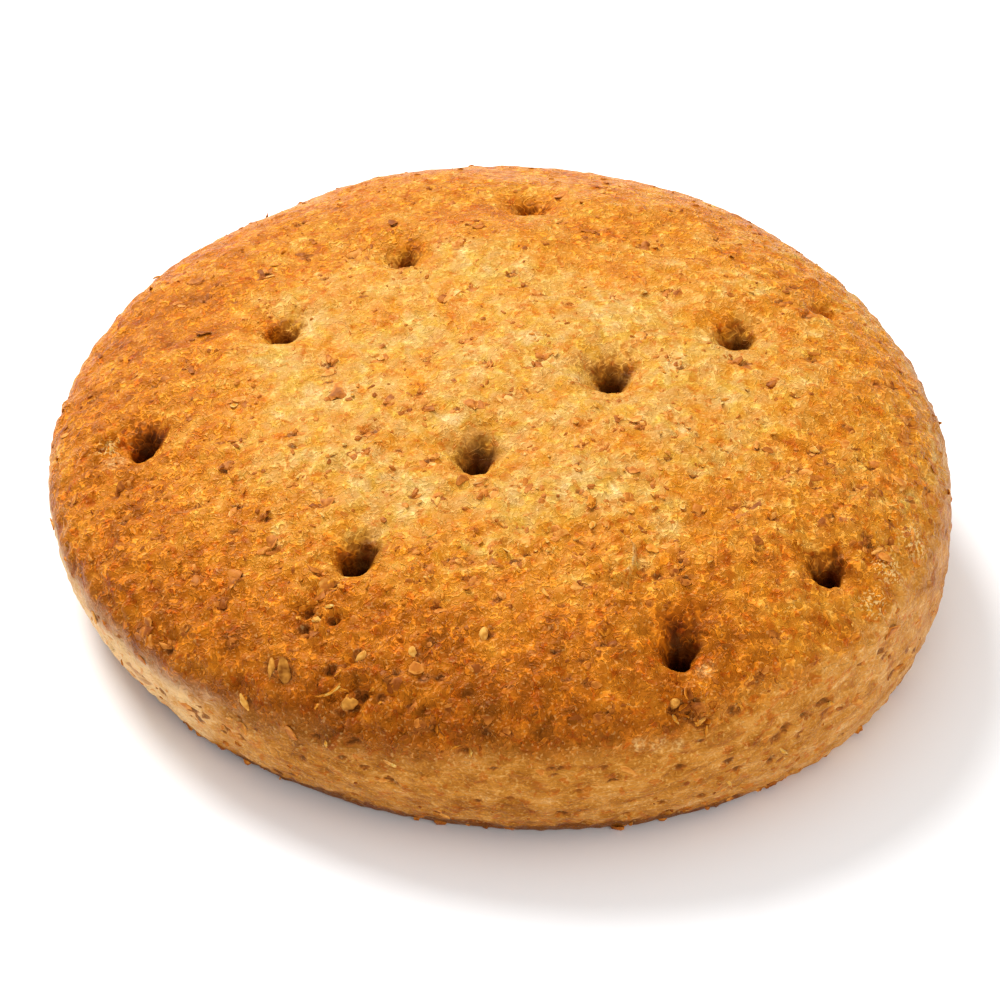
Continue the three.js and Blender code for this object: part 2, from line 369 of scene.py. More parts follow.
class Graph:
    """A material's node tree, with short calls for the nodes that the finishes use."""

    LAYER_STRENGTH = 0.55

    def __init__(self, name: str) -> None:
        """Starts a material with an empty tree but for its shader and output."""
        self.material = bpy.data.materials.new(name)
        self.material.use_nodes = True
        self.tree = self.material.node_tree
        self.shader = self.tree.nodes["Principled BSDF"]
        coordinates = self.tree.nodes.new("ShaderNodeTexCoord")
        self.place = coordinates.outputs["Object"]

    def feed(self, socket: Socket, value: Value | Colour) -> None:
        """Links a socket to another one, or sets its value."""
        if isinstance(value, bpy.types.NodeSocket):
            self.tree.links.new(value, socket)
        elif isinstance(value, tuple) and len(socket.default_value) == len(value) + 1:
            socket.default_value = (*value, 1.0)
        else:
            socket.default_value = value

    def set_shader(self, **values: Value | Colour) -> None:
        """Feeds the shader's sockets, named with underscores for spaces."""
        for name, value in values.items():
            self.feed(self.shader.inputs[name.replace("_", " ")], value)

    def attribute(self, name: str) -> Socket:
        """The value of one of the mesh's own attributes."""
        node = self.tree.nodes.new("ShaderNodeAttribute")
        node.attribute_name = name
        return node.outputs["Fac"]

    def stretched(self, scale: Colour) -> Socket:
        """Object coordinates, scaled along each axis."""
        node = self.tree.nodes.new("ShaderNodeMapping")
        self.feed(node.inputs["Vector"], self.place)
        node.inputs["Scale"].default_value = scale
        return node.outputs["Vector"]

    def lumps(
        self, size: float, detail: float = 1.0, twist: float = 0.0, at: Socket | None = None
    ) -> Socket:
        """Smooth noise from 0 to 1.

        Args:
            size: Breadth of a lump in millimetres.
            detail: How many finer layers are added.
            twist: How far the pattern is swirled.
            at: Where to read it, if not at plain object coordinates.

        Returns:
            The noise's value.
        """
        node = self.tree.nodes.new("ShaderNodeTexNoise")
        self.feed(node.inputs["Vector"], at or self.place)
        node.inputs["Scale"].default_value = 1 / (size * MM)
        node.inputs["Detail"].default_value = detail
        node.inputs["Roughness"].default_value = self.LAYER_STRENGTH
        node.inputs["Distortion"].default_value = twist
        return node.outputs["Fac"]

    def math(self, operation: str, first: Value, second: Value = 0.0, third: Value = 0.0) -> Socket:
        """One sum, difference, product or the like."""
        node = self.tree.nodes.new("ShaderNodeMath")
        node.operation = operation
        for socket, value in zip(node.inputs, (first, second, third)):
            self.feed(socket, value)
        return node.outputs[0]

    def times(self, value: Value, factor: Value) -> Socket:
        """The product of two values."""
        return self.math("MULTIPLY", value, factor)

    def spread(
        self, value: Socket, low: float, high: float, to_low: float = 0.0, to_high: float = 1.0
    ) -> Socket:
        """Takes a value softly from one range to another, and holds it at the ends."""
        node = self.tree.nodes.new("ShaderNodeMapRange")
        node.interpolation_type = "SMOOTHSTEP"
        self.feed(node.inputs["Value"], value)
        node.inputs["From Min"].default_value = low
        node.inputs["From Max"].default_value = high
        node.inputs["To Min"].default_value = to_low
        node.inputs["To Max"].default_value = to_high
        return node.outputs["Result"]

    def total(self, *terms: Value) -> Socket:
        """The sum of several values."""
        result = terms[0]
        for term in terms[1:]:
            result = self.math("ADD", result, term)
        return result

    def centred(self, value: Socket, strength: float) -> Socket:
        """Noise about 0, scaled to the given strength."""
        return self.times(self.math("SUBTRACT", value, 0.5), strength)

    def threads(self, size: float, width: float, twist: float = 0.8, at: Socket | None = None) -> Socket:
        """Fine winding ridges, 1 along the middle of each and 0 between them.

        Args:
            size: Breadth of a loop in millimetres.
            width: How wide the ridges are, as a range of the noise whose middle they follow.
            twist: How far the loops are swirled.
            at: Where to read them, if not at plain object coordinates.

        Returns:
            The height of the ridges.
        """
        off_middle = self.math("SUBTRACT", self.lumps(size, 0.0, twist, at), 0.5)
        return self.spread(self.math("ABSOLUTE", off_middle), 0.0, width, 1.0, 0.0)

    def blend(self, share: Value, under: Paint, over: Paint, how: Mixing = Mixing.COVER) -> Socket:
        """Mixes two colours.

        Args:
            share: How much of the second colour shows.
            under: The first colour.
            over: The second colour.
            how: Whether the second colour covers the first or tints it.

        Returns:
            The mixed colour.
        """
        node = self.tree.nodes.new("ShaderNodeMix")
        node.data_type = "RGBA"
        node.blend_type = how.value
        self.feed(node.inputs[0], share)
        self.feed(node.inputs[6], under)
        self.feed(node.inputs[7], over)
        return node.outputs[2]

    def tint(self, share: Value, under: Paint, over: Paint) -> Socket:
        """Tints the first colour with the second, as far as the share says."""
        return self.blend(share, under, over, Mixing.TINT)

    def scale_of_colours(self, value: Socket, stops: Shades) -> Socket:
        """Reads a colour off a scale of stops, each a place from 0 to 1 and a colour."""
        node = self.tree.nodes.new("ShaderNodeValToRGB")
        elements = node.color_ramp.elements
        while len(elements) < len(stops):
            elements.new(1.0)
        for element, (place, colour) in zip(elements, stops):
            element.position = place
            element.color = (*colour, 1.0)
        self.feed(node.inputs["Fac"], value)
        return node.outputs["Color"]

    def emboss(self, height: Socket, depth: float) -> None:
        """Raises fine relief, whose full height in millimetres is given, on the shader's normal."""
        node = self.tree.nodes.new("ShaderNodeBump")
        node.inputs["Distance"].default_value = depth * MM
        self.feed(node.inputs["Height"], height)
        self.feed(self.shader.inputs["Normal"], node.outputs["Normal"])


BAKE_SCALE: Shades = (
    (0.0, (0.84, 0.57, 0.19)),
    (0.12, (0.685, 0.445, 0.138)),
    (0.28, (0.592, 0.330, 0.066)),
    (0.45, (0.605, 0.233, 0.020)),
    (0.62, (0.538, 0.166, 0.009)),
    (0.8, (0.385, 0.099, 0.004)),
    (1.0, (0.16, 0.040, 0.003)),
)
WARM_SHINE: Colour = (1.0, 0.65, 0.25)


class CrustTextures:
    """The textures that the crust's colours and relief share, from broad to fine."""

    def __init__(self, graph: Graph) -> None:
        """Adds the textures to a material."""
        self.lengthwise = graph.stretched((0.35, 0.35, 1.0))
        self.broad = graph.lumps(7.0)
        self.blotch = graph.lumps(2.4, 1.0, 0.4)
        self.grain = graph.lumps(0.9, 1.0, 0.8)
        self.fine = graph.lumps(0.36, 0.0, 0.4)
        self.beads = graph.spread(self.fine, 0.48, 0.66)
        unbroken = graph.spread(graph.lumps(1.5), 0.36, 0.56, 0.5, 1.0)
        self.worms = graph.times(graph.threads(1.0, 0.1), unbroken)
        self.streaks = graph.lumps(1.6, 2.0, 0.3, self.lengthwise)
        self.fibres = graph.threads(0.6, 0.08, 0.5, self.lengthwise)


@dataclass(frozen=True)
class CrustFinish:
    """The baked crust, from cream gold to dark brown, with the paler side, painted light and shade on its
    fine relief, painted glints and painted shade on the holes' walls.
    """

    name: str = "baked_crust"
    roughness: float = 0.42
    shine: float = 0.12
    relief_depth: float = 0.32
    side_scale: Shades = (
        (0.0, (0.76, 0.47, 0.20)),
        (0.3, (0.62, 0.285, 0.066)),
        (0.55, (0.50, 0.195, 0.025)),
        (0.8, (0.33, 0.108, 0.009)),
        (1.0, (0.18, 0.052, 0.004)),
    )
    painted_hole_shade: Shades = (
        (0.0, (0.84, 0.70, 0.42)),
        (0.1, (0.43, 0.31, 0.17)),
        (0.32, (0.15, 0.098, 0.06)),
        (1.0, (0.04, 0.022, 0.03)),
    )
    patch_tints: Shades = (
        (0.36, (1.0, 0.92, 0.55)),
        (0.48, (1.0, 1.0, 1.0)),
        (0.64, (1.0, 1.0, 1.35)),
    )
    # Colours of the pits, partly stain and partly painted shade.
    pit_scale: Shades = (
        (0.45, (0.42, 0.125, 0.017)),
        (0.75, (0.22, 0.060, 0.008)),
        (1.0, (0.10, 0.028, 0.005)),
    )
    ruddy_tint: Colour = (1.0, 0.84, 0.66)
    dusk_tint: Colour = (0.71, 0.66, 0.77)
    spot_tint: Colour = (0.93, 0.62, 0.36)
    fleck_colour: Colour = (0.33, 0.095, 0.012)
    glint_colour: Colour = (0.90, 0.62, 0.24)
    cream_colour: Colour = (0.82, 0.54, 0.21)

    def material(self) -> bpy.types.Material:
        """Makes the material, which reads the crust's own attributes."""
        graph = Graph(self.name)
        dough = CrustTextures(graph)
        side = graph.attribute("side")
        colour = graph.blend(side, self._crown(graph, dough), self._side(graph, dough))
        colour = graph.tint(graph.attribute("dusk"), colour, self.dusk_tint)
        colour = self._freckle(graph, dough, side, colour)
        colour = self._shade_hollows(graph, dough, colour)
        graph.set_shader(Base_Color=colour, Roughness=self.roughness)
        graph.set_shader(Specular_IOR_Level=self.shine, Specular_Tint=WARM_SHINE)
        self._roughen(graph, dough, side)
        return graph.material

    def _crown(self, graph: Graph, dough: CrustTextures) -> Socket:
        """Colours the crown by its browning.

        Args:
            graph: The material's nodes.
            dough: The shared textures.

        Returns:
            The colour. The fine squiggles change its brightness more than its hue; that brightness is
            painted highlight on the squiggles and beads and painted shade in the grain and blotches.
        """
        bake = graph.attribute("bake")
        rising = graph.spread(bake, 0.3, 0.5, 0.62, 1.0)
        fading = graph.spread(bake, 0.65, 0.85, 0.0, -0.45)
        lively = graph.total(rising, fading)
        lit = graph.times(dough.worms, lively)
        tone = graph.total(
            bake,
            graph.centred(dough.broad, 0.45),
            graph.times(graph.centred(dough.blotch, 0.55), lively),
            graph.centred(dough.grain, 0.12),
            graph.times(lit, -0.1),
            graph.times(dough.beads, -0.04),
            0.055,
        )
        # Painted highlights on the squiggles and beads, and painted shade in the grain and blotches, stand
        # in for light on the small relief.
        painted_relief_light = graph.total(
            0.858,
            graph.times(lit, 0.58),
            graph.centred(dough.grain, -0.3),
            graph.centred(dough.blotch, -0.3),
            graph.times(dough.beads, 0.08),
        )
        colour = graph.tint(1.0, graph.scale_of_colours(tone, BAKE_SCALE), painted_relief_light)
        ruddy = graph.spread(graph.lumps(3.1, 1.0, 0.3), 0.45, 0.65, 0.0, 0.42)
        colour = graph.tint(ruddy, colour, self.ruddy_tint)
        patches = graph.scale_of_colours(graph.lumps(2.2, 1.0, 0.5), self.patch_tints)
        return graph.tint(graph.spread(bake, 0.35, 0.75, 1.0, 0.35), colour, patches)

    def _side(self, graph: Graph, dough: CrustTextures) -> Socket:
        """Colours the fibrous side under the browned crust."""
        tone = graph.total(
            graph.attribute("side_tone"),
            graph.centred(dough.broad, 0.5),
            graph.centred(dough.streaks, 0.7),
            graph.centred(dough.blotch, 0.6),
            graph.times(dough.fibres, -0.18),
            graph.times(dough.beads, -0.12),
            0.10,
        )
        return graph.scale_of_colours(tone, self.side_scale)

    def _freckle(self, graph: Graph, dough: CrustTextures, side: Socket, colour: Socket) -> Socket:
        """Adds reddish freckles, the bran in the side, the pits' stain and painted shade, and painted
        glints, which crowd in the foamy patches.

        Args:
            graph: The material's nodes.
            dough: The shared textures.
            side: How far a place belongs to the side.
            colour: The colour so far.

        Returns:
            The colour with these.
        """
        small_spots = graph.spread(graph.lumps(1.2, 1.5, 0.6), 0.59, 0.67, 0.0, 0.8)
        large_spots = graph.spread(graph.lumps(2.6, 2.5, 0.6), 0.60, 0.68, 0.0, 0.6)
        colour = graph.tint(graph.math("MAXIMUM", small_spots, large_spots), colour, self.spot_tint)
        side_bran = graph.spread(graph.lumps(1.7, 1.0, 0.3, dough.lengthwise), 0.65, 0.72, 0.0, 0.6)
        colour = graph.blend(graph.times(side, side_bran), colour, self.fleck_colour)
        # The pits' colour is partly stain and partly painted shade, darkest in their middles.
        ragged = graph.total(graph.centred(dough.grain, 1.2), graph.centred(dough.blotch, 0.6))
        pit = graph.total(graph.attribute("pit"), ragged)
        pit_colour = graph.scale_of_colours(pit, self.pit_scale)
        colour = graph.blend(graph.spread(pit, 0.4, 0.6, 0.0, 0.85), colour, pit_colour)
        # Painted glints: pale specks that stand in for highlights, thickest in the foamy patches.
        foam_glints = graph.attribute("foam_glints")
        beaded = graph.spread(graph.math("MULTIPLY_ADD", foam_glints, 0.2, dough.fine), 0.69, 0.76)
        glints = graph.times(beaded, graph.math("MULTIPLY_ADD", foam_glints, 0.42, 0.16))
        return graph.blend(glints, colour, self.glint_colour)

    def _shade_hollows(self, graph: Graph, dough: CrustTextures, colour: Socket) -> Socket:
        """Paints shade on the holes' walls, and pales the floury places and the lips; on the near lips of
        holes that paleness is partly a painted highlight.
        """
        # Painted shade on the holes' walls, darker with depth, multiplied over the crust's colour.
        deep = graph.total(
            graph.attribute("hole"),
            graph.centred(dough.blotch, 0.2),
            graph.centred(dough.grain, 0.3),
            graph.times(dough.worms, -0.06),
        )
        shade = graph.scale_of_colours(deep, self.painted_hole_shade)
        colour = graph.tint(graph.attribute("wall"), colour, shade)
        floury = graph.times(graph.attribute("cream"), graph.spread(dough.fine, 0.4, 0.6, 0.25, 1.0))
        return graph.blend(floury, colour, self.cream_colour)

    def _roughen(self, graph: Graph, dough: CrustTextures, side: Socket) -> None:
        """Gives the crown its curled skin, the side its fibres and the holes their streaks."""
        curled = graph.total(
            graph.times(dough.worms, 0.34), graph.times(dough.beads, 0.12), graph.times(dough.grain, 0.8)
        )
        curled = graph.times(curled, graph.spread(graph.attribute("bake"), 0.3, 0.5, 0.8, 1.35))
        fibrous = graph.total(
            graph.times(dough.fibres, 0.2), graph.times(dough.beads, 0.1), dough.grain, dough.streaks
        )
        relief = graph.blend(side, curled, fibrous)
        relief = graph.blend(graph.times(graph.attribute("wall"), 0.7), relief, dough.streaks)
        graph.emboss(relief, self.relief_depth)


@dataclass(frozen=True)
class FlakeFinish:
    """Loose bits in the crust. Each has its own shade, kept in its tone attribute."""

    name: str
    shades: Shades
    mottle_size: float = 0.5
    mottle: float = 0.35
    roughness: float = 0.5
    shine: float = 0.2
    relief_depth: float = 0.05

    def material(self) -> bpy.types.Material:
        """Makes the material."""
        graph = Graph(self.name)
        grain = graph.lumps(self.mottle_size)
        tone = graph.total(graph.attribute("tone"), graph.centred(grain, self.mottle))
        colour = graph.scale_of_colours(tone, self.shades)
        graph.set_shader(Base_Color=colour, Roughness=self.roughness)
        graph.set_shader(Specular_IOR_Level=self.shine, Specular_Tint=WARM_SHINE)
        graph.emboss(grain, self.relief_depth)
        return graph.material


BRAN_FINISH = FlakeFinish(
    "toasted_bran",
    (
        (0.0, (0.84, 0.55, 0.22)),
        (0.3, (0.70, 0.31, 0.058)),
        (0.6, (0.50, 0.155, 0.018)),
        (1.0, (0.22, 0.050, 0.005)),
    ),
)
SEED_FINISH = FlakeFinish(
    "seed_husks",
    (
        (0.0, (0.72, 0.37, 0.075)),
        (0.35, (0.56, 0.23, 0.032)),
        (1.0, (0.20, 0.058, 0.006)),
    ),
    mottle_size=0.7,
    mottle=1.2,
)
CURL_FINISH = FlakeFinish("crust_flakes", BAKE_SCALE, mottle=0.3, roughness=0.42)


@dataclass(frozen=True)
class FloorFinish:
    """A plain pale studio floor."""

    name: str = "pale_floor"
    colour: Colour = (0.93, 0.94, 0.95)
    dull_colour: Colour = (0.88, 0.89, 0.90)
    mottle_size: float = 90.0
    mottle: float = 0.04
    roughness: float = 0.9
    shine: float = 0.1

    def material(self) -> bpy.types.Material:
        """Makes the material, very faintly uneven."""
        graph = Graph(self.name)
        dull = graph.spread(graph.lumps(self.mottle_size), 0.3, 0.7, 0.0, self.mottle)
        colour = graph.blend(dull, self.colour, self.dull_colour)
        graph.set_shader(Base_Color=colour, Roughness=self.roughness, Specular_IOR_Level=self.shine)
        return graph.material


def only_select(piece: bpy.types.Object) -> None:
    """Makes one object the active and only selected one."""
    bpy.ops.object.select_all(action="DESELECT")
    piece.select_set(True)
    bpy.context.view_layer.objects.active = piece


def edit_unselected(kind: str) -> None:
    """Opens the active object for editing by FACE or EDGE, with nothing selected."""
    bpy.ops.object.mode_set(mode="EDIT")
    bpy.ops.mesh.select_mode(type=kind)
    bpy.ops.mesh.select_all(action="DESELECT")


def edit_faces(mesh: bpy.types.Mesh, chosen: np.ndarray) -> None:
    """Opens the active object's mesh for editing, with only the chosen faces selected."""
    edit_unselected("FACE")
    bpy.ops.object.mode_set(mode="OBJECT")
    mesh.polygons.foreach_set("select", chosen)
    bpy.ops.object.mode_set(mode="EDIT")


def vertex_places(mesh: bpy.types.Mesh) -> Points:
    """A mesh's vertices in millimetres, one row each."""
    places = np.empty(len(mesh.vertices) * 3, np.float32)
    mesh.vertices.foreach_get("co", places)
    return places.reshape(-1, 3).astype(float) / MM


def put_vertices(mesh: bpy.types.Mesh, places: Points) -> None:
    """Moves a mesh's vertices to places in millimetres."""
    mesh.vertices.foreach_set("co", (places * MM).astype(np.float32).ravel())
    mesh.update()


def vertex_normals(mesh: bpy.types.Mesh) -> Points:
    """The outward direction at each vertex of a mesh."""
    normals = np.empty(len(mesh.vertices) * 3, np.float32)
    mesh.vertex_normals.foreach_get("vector", normals)
    return normals.reshape(-1, 3).astype(float)


def corner_triples(mesh: bpy.types.Mesh) -> np.ndarray:
    """The vertex numbers of each of a mesh's triangles, one row each."""
    mesh.calc_loop_triangles()
    triples = np.empty(len(mesh.loop_triangles) * 3, np.int32)
    mesh.loop_triangles.foreach_get("vertices", triples)
    return triples.reshape(-1, 3)


def store(mesh: bpy.types.Mesh, name: str, values: np.ndarray) -> None:
    """Keeps one number for each vertex as an attribute that materials read."""
    attribute = mesh.attributes.new(name, "FLOAT", "POINT")
    attribute.data.foreach_set("value", values.astype(np.float32))


@dataclass(frozen=True)
class Patch:
    """A round patch of the crust where something differs."""

    x: float
    y: float
    z: float
    radius: float

    def share(self, places: Points) -> np.ndarray:
        """How far inside the patch each place is, 1 in its middle and 0 outside."""
        away = np.linalg.norm(places - (self.x, self.y, self.z), axis=1)
        return 1 - smoothstep(away, 0.3 * self.radius, self.radius)


CRAGGY_PATCHES = (
    Patch(-17.0, -48.8, 18.6, 6.0),
    Patch(-9.0, -51.5, 18.4, 5.0),
    Patch(21.5, -51.5, 18.6, 4.5),
    Patch(26.5, -50.0, 18.0, 3.5),
    Patch(-47.1, -5.2, 20.9, 4.0),
    Patch(43.0, -30.6, 23.0, 4.5),
    Patch(-20.5, -38.0, 24.0, 5.0),
)
TORN_PATCHES = (
    Patch(14.6, -35.0, 27.0, 4.2),
    Patch(-20.3, -39.6, 22.3, 3.4),
    Patch(-17.0, -48.9, 18.6, 4.2),
    Patch(22.0, -51.8, 18.0, 3.4),
    Patch(-46.8, -5.6, 21.0, 2.4),
)
FLOUR_AND_HIGHLIGHT_PATCHES = (
    Patch(15.7, -54.1, 15.9, 1.2),
    Patch(17.8, -53.7, 15.5, 1.3),
    Patch(20.0, -53.1, 15.0, 1.2),
    # The last three sit on near lips of holes: paler dough there, with a painted highlight.
    Patch(23.0, -47.8, 21.7, 1.6),
    Patch(-45.6, -8.6, 21.2, 2.6),
    Patch(39.4, -34.6, 23.5, 1.8),
)
# Foamy patches, where the painted glints crowd.
FOAMY_PATCHES = (
    Patch(48.0, -25.8, 22.0, 3.2),
    Patch(44.7, -30.8, 22.1, 3.4),
    Patch(42.8, -35.6, 20.8, 2.6),
    Patch(-46.8, -6.0, 20.9, 2.4),
)


@dataclass(frozen=True)
class Gouge:
    """A small hollow in the crust, squeezed along each axis by its own factor."""

    place: Place
    radius: float
    deep: float
    squeeze: tuple[float, float, float] = (1.0, 1.0, 1.0)
    # How far the hollow takes the pits' colour, which is partly stain and partly painted shade.
    stain_and_shade_share: float = 1.0

    def share(self, places: Points) -> np.ndarray:
        """How far inside the hollow each place is, 1 in its middle and 0 outside."""
        offset = (places - self.place) * self.squeeze
        return np.clip(1 - (offset**2).sum(axis=1) / self.radius**2, 0.0, 1.0)


FLAT_OVAL = (1.0, 1.0, 1.7)
GOUGES = (
    Gouge((-16.2, -51.9, 14.1), 1.7, 0.9, FLAT_OVAL),
    Gouge((-20.5, -50.2, 13.4), 1.2, 0.7, FLAT_OVAL),
    Gouge((32.6, -47.5, 12.3), 1.3, 0.9),
    Gouge((31.6, -48.2, 11.2), 1.1, 0.6),
    Gouge((-3.7, -54.8, 15.5), 1.3, 1.0, FLAT_OVAL),
    Gouge((33.7, -46.2, 8.1), 1.0, 0.7),
    Gouge((31.2, -47.7, 7.6), 1.0, 0.6),
    Gouge((27.3, -49.8, 8.2), 1.3, 0.6, FLAT_OVAL),
    Gouge((1.1, -54.9, 8.4), 1.3, 0.6, FLAT_OVAL),
    Gouge((-15.0, -52.2, 10.7), 1.1, 0.6, FLAT_OVAL),
    Gouge((-22.1, -49.0, 9.3), 0.9, 0.5),
    Gouge((36.7, -44.5, 13.6), 1.4, 0.7, FLAT_OVAL),
    Gouge((-21.4, -38.9, 22.3), 1.0, 0.8),
    Gouge((-18.6, -40.4, 22.4), 1.2, 0.9),
    Gouge((-21.8, -40.8, 21.6), 1.0, 0.7),
    Gouge((-47.7, -5.9, 20.6), 1.0, 0.7),
    Gouge((-46.0, -4.8, 21.4), 0.9, 0.6),
    Gouge((19.7, -51.8, 19.0), 0.8, 0.6),
    Gouge((26.3, -50.3, 17.4), 1.2, 0.8),
    Gouge((21.3, -52.0, 18.0), 1.0, 0.7),
    Gouge((-15.3, -49.3, 19.0), 1.2, 0.8),
    Gouge((-13.0, -50.2, 19.4), 1.0, 0.6),
    # A shallow hollow by the blister's torn edge, whose colour is mostly a painted shadow of the lip.
    Gouge((16.2, -36.2, 26.7), 2.2, 0.5, (2.2, 0.8, 0.8), 0.55),
)


@dataclass(frozen=True)
class Blister:
    """A thin-skinned blister in the crown, torn along its right edge."""

    x: float = 12.9
    y: float = -34.8
    half_length: float = 2.8
    half_width: float = 3.6
    height: float = 1.15
    soft_edge: tuple[float, float] = (0.1, 1.0)
    torn_edge: tuple[float, float] = (0.9, 1.02)
    lip_at: float = 0.89
    lip_width: float = 0.09

    def _away(self, places: Points) -> np.ndarray:
        """Distance from the blister's middle, 1 at its edge."""
        along = (places[:, 0] - self.x) / self.half_length
        across = (places[:, 1] - self.y) / self.half_width
        return np.hypot(along, across)

    def raised(self, places: Points) -> np.ndarray:
        """How far the blister lifts each place."""
        away = self._away(places)
        torn, soft = (1 - smoothstep(away, *edge) for edge in (self.torn_edge, self.soft_edge))
        return self.height * np.where(places[:, 0] > self.x, torn, soft)

    def lip(self, places: Points) -> np.ndarray:
        """How far each place is on the thin torn lip."""
        near = 1 - smoothstep(np.abs(self._away(places) - self.lip_at), 0.0, self.lip_width)
        return near * smoothstep(places[:, 0] - self.x, 0.8, 2.0)


@dataclass(frozen=True)
class OvenSide:
    """How the oven browned the crown towards one side."""

    towards_deg: float
    edge: float
    starts: float
    full: float
    foot: float
    shoulder: tuple[float, float] = (50.0, 54.6)

    def weight(self, angle: np.ndarray) -> np.ndarray:
        """How far each direction belongs to this side."""
        return np.cos(angle - math.radians(self.towards_deg)).clip(1e-3) ** 2

    def browning(self, middle: float, radius: np.ndarray) -> np.ndarray:
        """Browning on this side, from the middle of the crown out over the shoulder."""
        crown = middle + (self.edge - middle) * smoothstep(radius, self.starts, self.full)
        return crown + (self.foot - crown) * smoothstep(radius, *self.shoulder)


@dataclass(frozen=True)
class Browning:
    """How far the oven browned each place: 0 is cream and 1 is nearly black."""

    middle: float = 0.31
    sides: tuple[OvenSide, ...] = (
        OvenSide(-102.0, 0.77, 24.0, 52.0, 0.86),
        OvenSide(-8.0, 0.45, 24.0, 46.0, 0.40),
        OvenSide(90.0, 0.51, 16.0, 34.0, 0.44),
        OvenSide(180.0, 0.64, 22.0, 47.0, 0.52),
    )
    side_tone: float = 0.57
    left_paler: float = 0.60
    right_paler: float = 0.09
    low_right_painted_light: float = 0.18
    foot_darker: float = 0.95
    crust_line: float = 15.6
    line_lowest_deg: float = -136.0
    line_rise: float = 2.2
    line_softness: float = 2.3
    line_wander: tuple[float, float] = (1.0, 1.2)
    dusk_band: tuple[float, float] = (12.0, 20.5)
    dusk_fade: float = 3.0
    dusk_deg: float = -137.0
    dusk_reach_deg: float = 55.0

    def of_crown(self, form: RollForm, places: Points, bare_height: np.ndarray) -> np.ndarray:
        """Browning of the crown and shoulder."""
        radius = form.bare_radius(bare_height)
        angle = np.arctan2(places[:, 1], places[:, 0])
        weights = [side.weight(angle) for side in self.sides]
        browned = [side.browning(self.middle, radius) for side in self.sides]
        return sum(weight * value for weight, value in zip(weights, browned)) / sum(weights)

    def of_side(self, places: Points, bare_height: np.ndarray) -> np.ndarray:
        """Browning of the side: pale at the left and at the right, dark along the foot elsewhere. The low
        right is lighter still, painted light where that side falls in shade.
        """
        foot = 1 - smoothstep(bare_height, 0.4, 3.6)
        low = 1 - smoothstep(bare_height, 3.0, 11.0)
        left = smoothstep(-places[:, 0], 24.0, 38.0) * (1 - 0.5 * smoothstep(places[:, 1], -20.0, 15.0))
        right = smoothstep(places[:, 0], 14.0, 42.0)
        # The low right is lightened as painted light, where the side falls in shade from the key lamp.
        paler = (self.right_paler + self.low_right_painted_light * low) * right
        return self.side_tone - self.left_paler * left - paler + self.foot_darker * foot * (1 - right)

    def side_share(self, places: Points, bare_height: np.ndarray) -> np.ndarray:
        """How far each place belongs to the pale side under the browned crust."""
        angle = np.arctan2(places[:, 1], places[:, 0])
        line = self.crust_line + self.line_rise * (1 - np.cos(angle - math.radians(self.line_lowest_deg)))
        broad, small = self.line_wander
        line += broad * dough_noise(places, 12.0, 4.4) + small * dough_noise(places, 3.0, 8.1)
        return 1 - smoothstep(bare_height - line, -self.line_softness, self.line_softness)

    def dusk(self, places: Points, bare_height: np.ndarray) -> np.ndarray:
        """How far each place is in the dull band along the crust's lower edge, deepest at the front left."""
        angle = np.arctan2(places[:, 1], places[:, 0])
        off_middle = np.abs((np.degrees(angle) - self.dusk_deg + 180.0) % 360.0 - 180.0)
        around = 1 - smoothstep(off_middle, 12.0, self.dusk_reach_deg)
        level = bare_height + 1.3 * dough_noise(places, 5.0, 1.9)
        lowest, highest = self.dusk_band
        above = smoothstep(level, lowest, lowest + self.dusk_fade)
        below = 1 - smoothstep(level, highest - self.dusk_fade, highest)
        return around * above * below


@dataclass(frozen=True)
class Coarseness:
    """How high the crust's bubbles and crumbs stand, as a share of their usual height."""

    middle: float = 0.9
    front: float = 0.9
    sides: float = 0.25
    back: float = -0.5
    crags: float = 1.4

    def at(self, places: Points) -> np.ndarray:
        """The share at each place, least at the back and most in the craggy patches."""
        share = self.middle + self.front * smoothstep(-places[:, 1], -5.0, 35.0)
        share += self.sides * smoothstep(np.abs(places[:, 0]), 12.0, 42.0)
        share += self.back * smoothstep(places[:, 1], 8.0, 36.0)
        for patch in CRAGGY_PATCHES:
            share += self.crags * patch.share(places)
        return share


@dataclass
class Skin:
    """The crust's vertices while it is shaped, with one value for each."""

    places: Points
    bare_height: np.ndarray
    depth: np.ndarray
    # far_wall_shade and dark carry the painted shade on the holes' walls.
    far_wall_shade: np.ndarray
    dark: np.ndarray


@dataclass(frozen=True)
class Ground:
    """The finished crust, as a place to lay things on."""

    places: Points
    normals: Points
    triples: np.ndarray
    bare_height: np.ndarray
    depth: np.ndarray
    bake: np.ndarray
    pit_rows: np.ndarray

    @cached_property
    def areas(self) -> np.ndarray:
        """Area of each triangle in square millimetres."""
        first, second, third = (self.places[self.triples[:, corner]] for corner in range(3))
        return 0.5 * np.linalg.norm(np.cross(second - first, third - first), axis=1)

    def pick(
        self, rng: np.random.Generator, count: int, weight: np.ndarray
    ) -> tuple[Points, Points, np.ndarray]:
        """Draws random spots on the crust.

        Args:
            rng: The random source.
            count: How many spots.
            weight: How likely each vertex's surroundings are, for the same area.

        Returns:
            The spots' places, outward directions and browning.
        """
        chance = self.areas * weight[self.triples].mean(axis=1)
        chosen = self.triples[rng.choice(len(chance), count, p=chance / chance.sum())]
        shares = rng.dirichlet((1.0, 1.0, 1.0), count)
        place = np.einsum("nk,nkd->nd", shares, self.places[chosen])
        normal = np.einsum("nk,nkd->nd", shares, self.normals[chosen])
        normal /= np.linalg.norm(normal, axis=1)[:, None]
        return place, normal, (shares * self.bake[chosen]).sum(axis=1)

    def nearest(self, spots: Points) -> tuple[Points, Points, np.ndarray]:
        """The crust's places, outward directions and browning nearest to given places."""
        rows = [int(np.argmin(((self.places - spot) ** 2).sum(axis=1))) for spot in spots]
        return self.places[rows], self.normals[rows], self.bake[rows]


